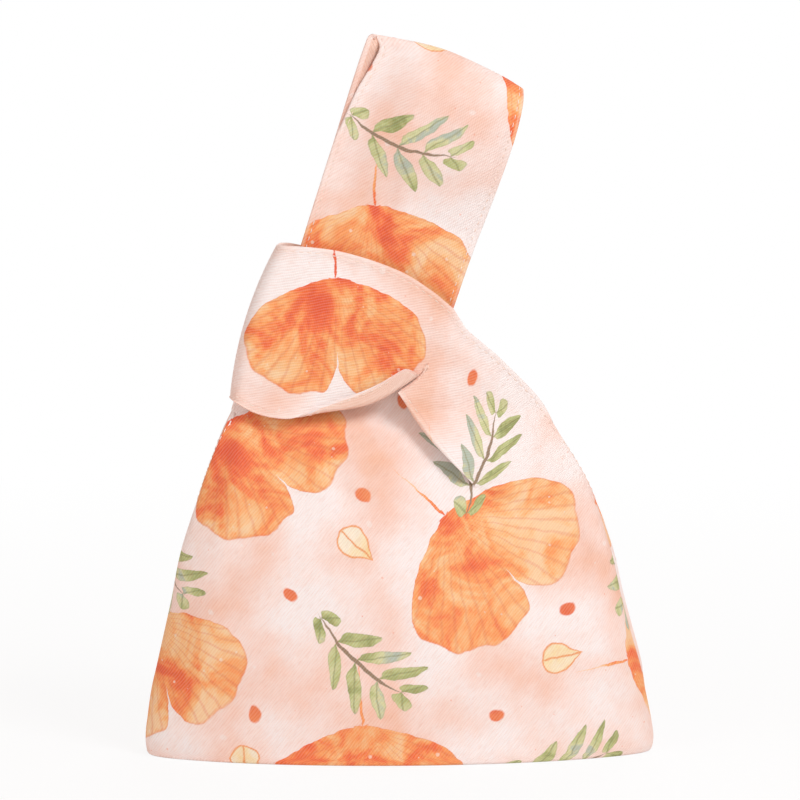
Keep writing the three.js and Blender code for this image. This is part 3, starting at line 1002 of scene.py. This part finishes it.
def panelGrid(facing):
    shares = evenShares(panel["columns"] + 1)
    level = np.zeros_like(shares)
    baseFlat = flatOf(shares * halfWidth(shares, level), level)
    radius = body["bottomRadius"]
    turnLength = radius * math.pi / 2
    deep = body["baseDepth"] / 2 - radius
    rows, flats = [], []

    def foot(inset, z, part, below):
        # a row of the underside or of its round edge, so far below the wall on the cloth
        tuck = body["bottomSeamTuck"] * (1 - part)
        x = shares * (halfWidth(shares, np.full_like(shares, z)) - inset - tuck)
        y = cloth["seamHalfGap"] + part * (halfDepth(z) - inset) * plan(shares)
        rows.append(np.stack([x, y, np.full_like(x, z)], -1))
        flats.append(baseFlat - [0, below])

    def upright(left, right, count):
        # rows of the wall between two edges
        for t in np.linspace(0, 1, count + 1)[1:]:
            point = mix(left(t), right(t), (shares[:, None] + 1) / 2)
            x, z = point[:, 0], point[:, 1]
            depth = np.maximum(panelDepth(x, z, facing), cloth["seamHalfGap"])
            rows.append(np.stack([x, depth, z], -1))
            flats.append(flatOf(x, z) + [0, radius * (math.pi / 2 - 1)])

    def upSide(side, low, high, t):
        return sideEdge(side, mix(low, high, t))

    for part in np.linspace(0, 1, panel["bottomRows"] + 1)[:-1]:
        foot(radius, 0.0, part, turnLength + deep * (1 - part))
    for turn in np.linspace(0, 1, panel["edgeRows"] + 1):
        angle = turn * math.pi / 2
        foot(radius * (1 - math.sin(angle)), radius * (1 - math.cos(angle)), 1.0, turnLength * (1 - turn))
    cut, closing = body["shoulderCut"], body["closingHeight"]
    chest = mix(cut, closing, 0.5)
    half, along = panel["handleHalf"], panel["rootAlong"]
    underTip = flapTip + flap["tuck"]
    flare = onHandle(-half - panel["rootFlare"], panel["flareAlong"])
    leftRoot = curveThrough([sideEdge(-1, closing), flare, onHandle(-half, along)])
    rightRoot = curveThrough([underTip, onHandle(half, along)])
    upright(partial(upSide, -1, radius, cut), partial(upSide, 1, radius, cut), panel["wallRows"])
    upright(partial(upSide, -1, cut, chest), partial(mix, shoulderCut, pleatTip), panel["chestRows"])
    upright(partial(upSide, -1, chest, closing), partial(mix, pleatTip, underTip), panel["chestRows"])
    upright(leftRoot, rightRoot, panel["rootRows"])
    grid = np.array(rows)
    grid[..., 1] *= facing
    return grid, np.array(flats)


def stands(piece):
    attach(piece, "bag")


def dressPanel(side, facing):
    grid, flat = panelGrid(facing)
    flat = onCloth(flat, facing, panel[f"{side}Cut"])
    height = grid[:, 0, 2]
    isSeam = height < body["armholeHeight"]
    opening = ~isSeam & (height < body["closingHeight"] - panel["armholeStitch"])
    root = height > body["closingHeight"] + panel["rootStitch"]
    neckline = slice(-panel["rootRows"], None)
    sewn = settle(grid)
    armhole = [insetPath(sewn, facing, False, rows) for rows in (opening, root)]
    threads = [
        stitchRuns(f"{side}_armhole_stitch", armhole),
        stitchRuns(f"{side}_neckline_stitch", [insetPath(sewn, facing, True, neckline)]),
    ]
    lined = settle(grid[1:, 1:-1]), flat[1:, 1:-1]
    grid, flat = turnEdge(grid, flat, facing, False, isSeam)
    seamRows = panel["bottomRows"] + panel["edgeRows"] + panel["wallRows"] + 1
    grid, flat = turnEdge(grid, flat, facing, True, np.arange(len(grid)) < seamRows, "underTurn")
    dress(
        (f"{side}_panel", f"{side}_lining"), (settle(grid), flat), lined, facing, (cloth["turnSteps"],),
        threads, stands,
    )


def sewBody():
    low = body["bottomRadius"] + body["seamEnd"]
    stands(sewSide("left_side_seam", -1, low, body["armholeHeight"] - body["seamEnd"], 40))
    stands(sewSide("right_side_seam", 1, low, body["shoulderCut"] - body["seamEnd"], 40))
    reach = halfWidth(1.0, 0.0) - body["bottomRadius"] - body["bottomSeamTuck"] - body["bottomSeamEnd"]
    across = np.linspace(-reach, reach, 40)
    path = np.stack([across, np.zeros_like(across), np.full_like(across, cloth["seamSunk"])], -1)
    stands(sewSeam("bottom_seam", path, (0.0, 0.0, -1.0)))


for side, facing in bagSides:
    dressPanel(side, facing)
sewBody()
print("body panels made")

# Short handle: the band round the long handle, its hairpin and the right shoulder
band = {
    "lower": [(-46.3, -74), (-32.9, -76.4), (-20.7, -74.7), (-7.8, -67.7), (15.2, -55.4), (33.6, -34.5)],
    "upper": [(-46.6, -3.4), (-42.4, -2.0), (-19.2, 2.4), (7.1, 2.2), (24.7, -1.9), (37.2, -7.0)],
    "shoulder": [(27.4, 194), (30.4, 190.2), (37.2, 184.4), (45.2, 177.3), (61.4, 160.5)],
    "backDrop": 2.2,  # the back lies lower, so its edge hides behind the front
    "dropOver": 0.3,
    "depth": 8.4,
    "endReach": 6,
    "endBulge": 3.6,
    "rows": 84,
    "rowPower": 1.5,  # closer at the end fold
    "flapRows": 72,
    "width": 74,
    "sideTop": 146,  # from here down the outer edge keeps to the side seam
    "dropTop": 165,
    "lip": 0.9,  # least roll of the lower edge
    "leastRoll": 0.02,
    # shares of the cuff, and of the flap after its corner
    "lipFall": 0.06,
    "curlRise": (0.36, 0.92),
    "curlFall": 0.12,
    "pleatWidens": 0.25,
    "pleatNarrows": 0.5,
    "pleatDeepens": 0.3,
    "pleatEnds": (0.02, 0.4),
    "slitRise": 0.1,
    "tuckFall": 0.12,
    "curlRadius": 1.0,
    "frontCurl": 10,
    "backCurl": 4.0,
    "curlSteps": 14,
    "curlFrom": 0.42,
    "cornerShare": 0.22,
    "slitRadius": 0.5,
    "slitTuck": 1.6,
    "pleatRadius": 1.3,
    "pleatTuck": 9,
    "liningShort": 1.1,
    "liningLeast": 0.05,
    # rows left out of the topstitches where the cloth turns
    "upperSkip": 4,
    "lowerSkip": 6,
    "beforeHairpin": 12,
    "afterHairpin": 15,
    "cornerStitch": 0.2,
    "frontCreases": [
        (-70, 172, -10, 204, 7, 0.7),
        (-58, 160, 4, 186, 6, -0.8),
        (-40, 214, 12, 196, 7, 0.6),
        (18, 190, 46, 158, 6, 0.9),
        (30, 176, 62, 128, 6, -0.8),
        (24, 150, 52, 120, 6, 0.6),
    ],
    "backCreases": [
        (-66, 176, -8, 196, 8, 0.8),
        (-54, 214, 8, 186, 7, -0.8),
        (22, 188, 50, 150, 7, 0.8),
        (36, 160, 66, 116, 7, -0.8),
    ],
    "rippleLength": 46,
    "ripple": 0.35,
    "frontSeed": 21,
    "backSeed": 22,
    "quietEnd": 0.4,  # no folds and hems at the end fold
    "hemEnd": 0.3,
    "dart": 42,
    "dartFrom": -18,
}


def hemColumns(width):
    # shares across the cloth, close together at both hems
    hem = cloth["hemWidth"] / width
    edge = np.linspace(0, hem, cloth["hemSteps"])[:-1]
    middle = np.linspace(hem, 1 - hem, cloth["midSteps"])
    return np.concatenate([edge, middle, 1 - edge[::-1]])


def hemForm(fromEdge):
    # the doubled edge stands up, with a groove along its stitches
    ridge = cloth["hemRidge"] * ease(cloth["hemWidth"] - fromEdge, 0, cloth["hemSlope"])
    aside = (fromEdge - cloth["stitchInset"]) / cloth["grooveWidth"]
    return ridge - cloth["stitchGroove"] * np.exp(-(aside**2))


def dartFlat(x, z):
    # the flap's place on the cloth, turned about the pleat's end as the fold takes cloth up
    centre = flatOf(*pleatTip)
    local = flatOf(x, z) - centre
    radius = np.hypot(local[..., 0], local[..., 1])
    angle = np.arctan2(local[..., 1], local[..., 0])
    angle = angle + math.radians(band["dart"]) * ease(angle, math.radians(band["dartFrom"]), math.pi - pleat)
    turned = np.stack([radius * np.cos(angle), radius * np.sin(angle)], -1)
    return centre + turned + [0, body["bottomRadius"] * (math.pi / 2 - 1)]


def cuffRows(across, drop):
    # round the long handle, from the end fold to the hairpin: points, depths and distance from the fold
    lower = curveThrough([onHandle(*p) for p in band["lower"]])
    upper = curveThrough([onHandle(*p) for p in band["upper"]])
    ends = mix(lower(0.0), upper(0.0), across[:, None])
    for t in np.linspace(0, 1, band["rows"] + 1):
        u = t ** band["rowPower"]
        point = mix(lower(u), upper(u) + ease(u, 0, band["dropOver"]) * drop, across[:, None])
        reach = np.clip(np.linalg.norm(point - ends, axis=1) / band["endReach"], 0, 1)
        bulge = band["endBulge"] * 4 * across * (1 - across) * (1 - u)
        point = point - bulge[:, None] * [math.cos(lean), -math.sin(lean)]
        yield point, mix(cloth["seamHalfGap"], band["depth"], np.sqrt(1 - (1 - reach) ** 2)), reach


def flapRows(across, drop, facing):
    # from the hairpin over the flap to the right side seam
    topRight = onHandle(*band["upper"][-1])
    lowSide = [sideEdge(1, z) for z in np.linspace(band["sideTop"], body["shoulderCut"], 16)]
    armEdge = curveThrough([topRight, *band["shoulder"], *lowSide])
    middle = mix(flapTip, pleatTip, 0.5) - flap["pleatBow"] * pleatSide
    flapLine = curveThrough([flapTip, middle, pleatTip])
    corner = band["cornerShare"]
    fine = 1 - (1 - np.linspace(0, 1, 300)) ** 2
    for t in np.linspace(0, 1, band["flapRows"] + 1)[1:]:
        if t < corner:
            s = t / corner
            left = mix(hairpin, flapTip, s) + flap["slit"] * 4 * s * (1 - s) * slitSide
        else:
            left = flapLine((t - corner) / (1 - corner))
        edge = armEdge(t)
        if edge[1] < band["sideTop"]:
            edge = sideEdge(1, edge[1])
        edge = edge + ease(edge[1], band["sideTop"], band["dropTop"]) * drop
        point = mix(left, edge, fine[:, None])
        point[-1] = edge
        x, z = point[:, 0], point[:, 1]
        # the cloth leaves the band's depth for the body's, sooner at the side than at the free edge
        folded = ease(np.full_like(fine, t), 0.0, 1.0 - flap["foldSooner"] * fine)
        settled = mix(ease(t, 0, flap["settleFree"]), ease(t, 0, flap["settleSide"]), fine)
        lift = flap["lift"] * ease(t, 0, flap["liftRise"]) * ease(1 - t, 0, flap["liftFall"])
        lift = lift * (1 - fine) ** flap["liftPower"]
        depth = mix(band["depth"], bodyDepth(x, z) + panelFold(x, z, facing) * folded, settled) + lift
        clear = flap["clear"] * (1 - fine) * ease(1 - t, 0, flap["clearFall"])
        depth = np.maximum(depth, panelDepth(x, z, facing) + clear)
        row = np.concatenate([point, depth[:, None]], 1)
        run = lengthAlong(row)
        row = readAt(across * run[-1], run, row)
        yield row[:, :2], row[:, 2], np.full_like(across, 1 - t)


def lowerRoll(count, curl):
    # how the lower edge rolls: outwards as a curl on the cuff, and inwards along the slit and the pleat
    place = np.arange(count)
    along = place / band["rows"]
    after = np.clip((place - band["rows"]) / band["flapRows"], 0, 1)
    onBand = along <= 1
    corner = band["cornerShare"]
    lip = band["lip"] * ease(1 - along, 0.0, band["lipFall"])
    curled = lip + curl * ease(along, *band["curlRise"]) * ease(1 - along, 0.0, band["curlFall"])
    wider = band["pleatRadius"] - band["slitRadius"]
    wider = wider * ease(after, corner, corner + band["pleatWidens"])
    radius = band["slitRadius"] + wider * ease(1 - after, 0, band["pleatNarrows"])
    deeper = band["pleatTuck"] * ease(after, corner, corner + band["pleatDeepens"])
    deeper = deeper * ease(1 - after, *band["pleatEnds"])
    tucked = band["slitTuck"] * ease(after, 0.0, band["slitRise"]) + deeper
    tucked = tucked * ease(1 - after, 0, band["tuckFall"])
    length = np.maximum(np.where(onBand, curled, tucked), band["leastRoll"])
    return onBand, length, np.where(onBand, band["curlRadius"], radius), np.where(onBand, 1, -1)


def bandGrid(facing, lining):
    face = "front" if facing < 0 else "back"
    across = hemColumns(band["width"])
    drop = (band["backDrop"] if facing > 0 else 0) * np.array([-math.sin(lean), -math.cos(lean)])
    rows = [*cuffRows(across, drop), *flapRows(across, drop, facing)]
    points, depth, fromEnd = (np.array(part) for part in zip(*rows))
    x, z = points[..., 0], points[..., 1]
    edge = lengthAlong(np.concatenate([points, depth[..., None]], 2))
    hems = hemForm(edge) + hemForm(edge[:, -1:] - edge)
    waves = band["ripple"] * ripple(x, z, band["rippleLength"], band[f"{face}Seed"])
    quiet = ease(fromEnd, 0, band["quietEnd"])
    creased = quiet * (creaseHeight(band[f"{face}Creases"], x, z) + waves)
    depth = depth + creased + ease(quiet, 0, band["hemEnd"]) * hems
    depth = np.maximum(depth, cloth["seamHalfGap"])
    bare = np.stack([x, facing * depth, z], -1)
    flat = dartFlat(x, z)
    turn = bare[:band["rows"] + 1]
    seen = np.hypot(np.diff(turn[..., 0], axis=0), np.diff(turn[..., 2], axis=0))
    longer = np.linalg.norm(np.diff(turn, axis=0), axis=2) - seen
    longer = np.cumsum(longer[::-1], axis=0)[::-1]  # cloth that goes round the end fold
    flat[:band["rows"]] += longer[..., None] * unit(flat[:band["rows"]] - flat[1:band["rows"] + 1])
    onBand, length, radius, sign = lowerRoll(len(rows), band[f"{face}Curl"])
    if lining:
        shorter = np.maximum(length - band["liningShort"], band["liningLeast"])
        length = np.where(onBand, shorter, band["liningLeast"])
    grid, flat = rollEdge(bare, flat, facing, False, length, radius, math.pi, sign, band["curlSteps"])
    if lining:
        return grid[:, :-1], flat[:, :-1], bare
    grid, flat = turnEdge(grid, flat, facing, True, grid[:, -1, 2] < body["armholeHeight"])
    return grid, flat, bare


slideWay = np.array(knot["slideWay"])


def slides(piece):
    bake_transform(piece)


def dressBand(side, facing):
    grid, flat, bare = bandGrid(facing, False)
    lining, liningFlat, _ = bandGrid(facing, True)
    corner = panel[f"{side}Cut"]  # the print runs on from the panel
    flat, liningFlat = (onCloth(f, facing, corner) for f in (flat, liningFlat))
    grid, lining, bare = settle(grid), settle(lining), settle(bare)
    thick = cloth["printed"] + cloth["between"] + cloth["lining"]
    curled = int(band["curlFrom"] * band["rows"])
    cornerEnd = band["rows"] + int(band["flapRows"] * (band["cornerShare"] + band["cornerStitch"]))
    upper = slice(band["upperSkip"], int((bare[:, -1, 2] > body["armholeHeight"]).sum()))
    lower = slice(band["lowerSkip"], curled)
    curl = slice(curled + band["lowerSkip"], band["rows"] - band["beforeHairpin"])
    slit = slice(band["rows"] + band["afterHairpin"], cornerEnd)
    threads = [
        stitchRuns(f"{side}_short_handle_upper_stitch", [insetPath(bare, facing, True, upper)]),
        stitchRuns(f"{side}_short_handle_lower_stitch", [
            insetPath(bare, facing, False, lower),
            insetPath(grid, facing, False, curl, thick),
            insetPath(bare, facing, False, slit),
        ]),
    ]
    name = f"short_handle_{side}"
    dress(
        (name, f"{name}_lining"), (grid, flat), (lining, liningFlat), facing,
        (band["curlSteps"], -cloth["turnSteps"] - 1), threads, slides,
    )
    return bare[0] * [1, 0, 1]


def sewBand(end):
    outward = np.array([-math.cos(lean), 0, math.sin(lean)])
    slides(sewSeam("short_handle_end_seam", end[2:-2] - outward * cloth["seamSunk"], outward))
    high = body["armholeHeight"] - body["seamEnd"]
    slides(sewSide("right_shoulder_seam", 1, body["shoulderCut"], high, 30))


bandEnds = [dressBand(side, facing) for side, facing in bagSides]
sewBand(bandEnds[0])
print("short handle made")

# Long handle: front and back straps that part above the fold line and meet at the top
strap = {
    "half": 36.5,
    "start": -34,
    "top": [(-36, 100), (-15, 102.4), (1, 102.6), (25, 99.4), (37, 96.6)],
    # edges, across and along the handle
    "frontLeft": [
        (-35.4, -40), (-35.4, 42), (-34.4, 57), (-32.6, 73),
        (-30.6, 82), (-28.6, 91), (-28.6, 96), (-33, 100.6),
    ],
    "frontRight": [(36.4, -40), (37.4, 12), (38.8, 42), (39.4, 71), (38.6, 90), (37.4, 97)],
    "backLeft": [
        (-35.4, -40), (-35.3, 4), (-35.2, 54), (-35.5, 78), (-35.3, 92), (-34.6, 98), (-33, 100.6),
    ],
    "backRight": [(36.2, -40), (36, 12), (35.6, 54), (36.2, 89), (37.4, 97)],
    "bow": 11,
    "leftBow": 0.14,  # the left edges lie close
    "leftShare": 0.4,
    "backCurl": 3.4,  # the back's left edge comes forward near the top and shows its lining
    "backCurlShare": 0.1,
    "backCurlRise": (0.45, 0.8),
    "topFall": 0.1,  # flat again at the top seam
    "rise": 1.3,
    "rows": 110,
    "standRows": 39,
    "stitchFrom": 14,
    "stitchTo": -4,
    "frontCreases": [(-28, 6, -22, 46, 3.6, -0.9), (-4, -4, -4.6, 42, 3.4, -1.6), (4, 0, 5, 38, 4, 0.9)],
    "backCreases": [(26, 4, 20, 44, 4, -1.2), (-8, 2, -4, 36, 6, 0.8)],
    "foldsFrom": (-6, 8),
    "rippleLength": 40,
    "ripple": 0.3,
    "frontSeed": 30,
    "backSeed": 32,
    # corners on the printed cloth
    "frontCut": (40, 330),
    "backCut": (460, 390),
}


def edgeAt(points):
    curve = curveThrough(points)(np.linspace(0, 1, 200))
    return lambda along: np.interp(along, curve[:, 1], curve[:, 0])


def strapGrid(facing):
    face = "front" if facing < 0 else "back"
    left, right = edgeAt(strap[f"{face}Left"]), edgeAt(strap[f"{face}Right"])
    foldHeight = knot["foldHeight"]
    stand = np.linspace(strap["start"], foldHeight, strap["standRows"] + 1)[:-1]
    part = 1 - (1 - np.linspace(0, 1, strap["rows"] - strap["standRows"] + 1)) ** 2
    across = hemColumns(2 * strap["half"])
    even = mix(-strap["half"], strap["half"], across)
    topCurve = curveThrough(strap["top"])(np.linspace(0, 1, 100))
    end = np.interp(even, topCurve[:, 0], topCurve[:, 1])
    bow = strap["bow"] * mix(strap["leftBow"], 1, ease(across, 0, strap["leftShare"]))
    swell = lambda p: p ** strap["rise"] * np.sqrt(1 - p)
    widest = strap["rise"] / (strap["rise"] + 0.5)
    rows, flats = [], []
    for place in np.concatenate([stand, foldHeight + part]):
        onStand = place < foldHeight
        p = 0.0 if onStand else place - foldHeight
        along = np.full_like(even, place) if onStand else mix(foldHeight, end, p)
        q = mix(left(along[0]), right(along[-1]), across)
        depth = mix(body["pinch"], cloth["seamHalfGap"], p) + bow * swell(p) / swell(widest)
        waves = strap["ripple"] * ripple(q, along, strap["rippleLength"], strap[f"{face}Seed"])
        fold = (creaseHeight(strap[f"{face}Creases"], q, along) + waves) * ease(along, *strap["foldsFrom"])
        hems = hemForm(q - q[0]) + hemForm(q[-1] - q)
        below = ease(1 - p, 0, strap["topFall"])
        depth = np.maximum(depth + below * (fold + hems), cloth["seamHalfGap"])
        if facing > 0:
            outer = ease(strap["backCurlShare"] - across, 0, strap["backCurlShare"])
            depth = depth - strap["backCurl"] * outer * ease(p, *strap["backCurlRise"]) * below
        point = onHandle(q, along)
        rows.append(np.stack([point[:, 0], facing * depth, point[:, 1]], -1))
        flats.append(np.stack([even, along], -1))
    grid, flat = np.array(rows), np.array(flats)
    step = np.linalg.norm(np.diff(grid, axis=0), axis=2)
    flat[1:, :, 1] = flat[0, :, 1] + np.cumsum(step, axis=0)
    return grid, flat


foldLow, foldHigh = (onHandle(0, along) * mm for along in knot["foldSpan"])


def folds(piece):
    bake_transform(piece)


def dressStrap(side, facing):
    grid, flat = strapGrid(facing)
    flat = onCloth(flat, facing, strap[f"{side}Cut"])
    top = grid[-1] * [1, 0, 1]
    lined = grid[:-1, 1:-1], flat[:-1, 1:-1]
    rows = slice(strap["stitchFrom"], strap["stitchTo"])
    threads = [
        stitchRuns(f"{side}_long_handle_{edge}_stitch", [insetPath(grid, facing, last, rows)])
        for edge, last in (("left", False), ("right", True))
    ]
    for last in (False, True):
        grid, flat = turnEdge(grid, flat, facing, last, False)
    name = f"long_handle_{side}"
    folded = (cloth["turnSteps"], -cloth["turnSteps"] - 1)
    dress(
        (name, f"{name}_lining"), (grid, flat), lined, facing, folded,
        threads, folds,
    )
    return top


def sewStrap(top):
    upward = np.array([math.sin(lean), 0, math.cos(lean)])
    folds(sewSeam("long_handle_top_seam", top[2:-2] - upward * cloth["seamSunk"], upward))


strapTops = [dressStrap(side, facing) for side, facing in bagSides]
sewStrap(strapTops[0])
print("long handle made")

# Stage, lights and camera
stage = {
    "distance": 2500,
    "azimuth": -2.5,
    "elevation": 7.2,
    "lens": 250,
    "lookAt": (0, 0, 159.2),
    "floorSize": 9000,
    "paper": "#f6f6f6",
    "paperRoughness": 0.8,
    # share of plain white in the floor as the camera sees it, beside the bag and far from it
    "nearGlow": 0.88,
    "farGlow": 1.0,
    "nearReach": 200,
    "farReach": 900,
    "surround": 0.41,
    "surroundTint": "#ffddcd",  # light off the warm walls round the table
    "lampTint": "#f6fcff",
    "lampTarget": (0, 0, 0.15),
    # place and size in metres, and watts
    "lamps": {
        "key": ((0.85, -0.95, 1.4), 0.7, 16.6),
        "fill": ((-1.15, -1.05, 0.75), 1.2, 6.5),
        "back": ((0.4, 1.4, 1.0), 1.2, 7.0),
    },
}


def seenByCamera(add):
    # direct, mirrored and refracted looks at the backdrop
    rays = add("LightPath").outputs
    seen = add("Math", rays["Is Camera Ray"], rays["Is Glossy Ray"], operation="MAXIMUM")
    return add("Math", seen, rays["Is Transmission Ray"], operation="MAXIMUM")


def makeStage():
    size = stage["floorSize"] * mm
    made = bpy.data.meshes.new("studio floor")
    corners = [(-size, -size, 0), (size, -size, 0), (size, size, 0), (-size, size, 0)]
    made.from_pydata(corners, [], [(0, 1, 2, 3)])
    floor = bpy.data.objects.new("studio_floor", made)
    bpy.context.scene.collection.objects.link(floor)
    paper, add, shader = newMaterial("white studio paper")
    setInputs(shader, {"Base Color": stage["paper"], "Roughness": stage["paperRoughness"]})
    spot = add("TexCoord")
    away = add("VectorMath", spot.outputs["Object"], operation="LENGTH").outputs["Value"]
    near, far = stage["nearReach"] * mm, stage["farReach"] * mm
    glow = add("MapRange", away, near, far, stage["nearGlow"], stage["farGlow"])
    part = add("Math", seenByCamera(add), glow, operation="MULTIPLY")
    white = add("Emission", {"Color": "#ffffff", "Strength": 1.0})
    blend = add("MixShader", part, shader, white)
    setInputs(paper.node_tree.nodes["Material Output"], {"Surface": blend})
    made.materials.append(paper)

    world = bpy.data.worlds.new("studio")
    bpy.context.scene.world = world
    world.use_nodes = True
    add = partial(addNode, world.node_tree)
    soft = add("Background", {"Color": stage["surroundTint"], "Strength": stage["surround"]})
    white = add("Background", {"Color": "#ffffff", "Strength": 1.0})
    blend = add("MixShader", seenByCamera(add), soft, white)
    setInputs(world.node_tree.nodes["World Output"], {"Surface": blend})


def softLamp(name, place, size, power):
    lamp = bpy.data.lights.new(name, "AREA")
    lamp.shape = "DISK"
    lamp.size = size
    lamp.energy = power
    lamp.color = linear(stage["lampTint"])[:3]
    made = bpy.data.objects.new(name, lamp)
    made.location = place
    made.rotation_euler = (Vector(stage["lampTarget"]) - Vector(place)).to_track_quat("-Z", "Y").to_euler()
    bpy.context.scene.collection.objects.link(made)


def makeCamera():
    lens = bpy.data.cameras.new("camera")
    lens.lens = stage["lens"]
    made = bpy.data.objects.new("camera", lens)
    rise = math.radians(stage["elevation"])
    target = Vector(stage["lookAt"]) * mm
    turn = math.radians(stage["azimuth"])
    away = Vector((math.sin(turn) * math.cos(rise), -math.cos(turn) * math.cos(rise), math.sin(rise)))
    made.location = target + away * stage["distance"] * mm
    made.rotation_euler = (-away).to_track_quat("-Z", "Y").to_euler()
    bpy.context.scene.collection.objects.link(made)
    bpy.context.scene.camera = made


makeStage()
for name, (place, size, power) in stage["lamps"].items():
    softLamp(name, place, size, power)
makeCamera()
bpy.context.scene.view_settings.view_transform = "Standard"
print("stage set")
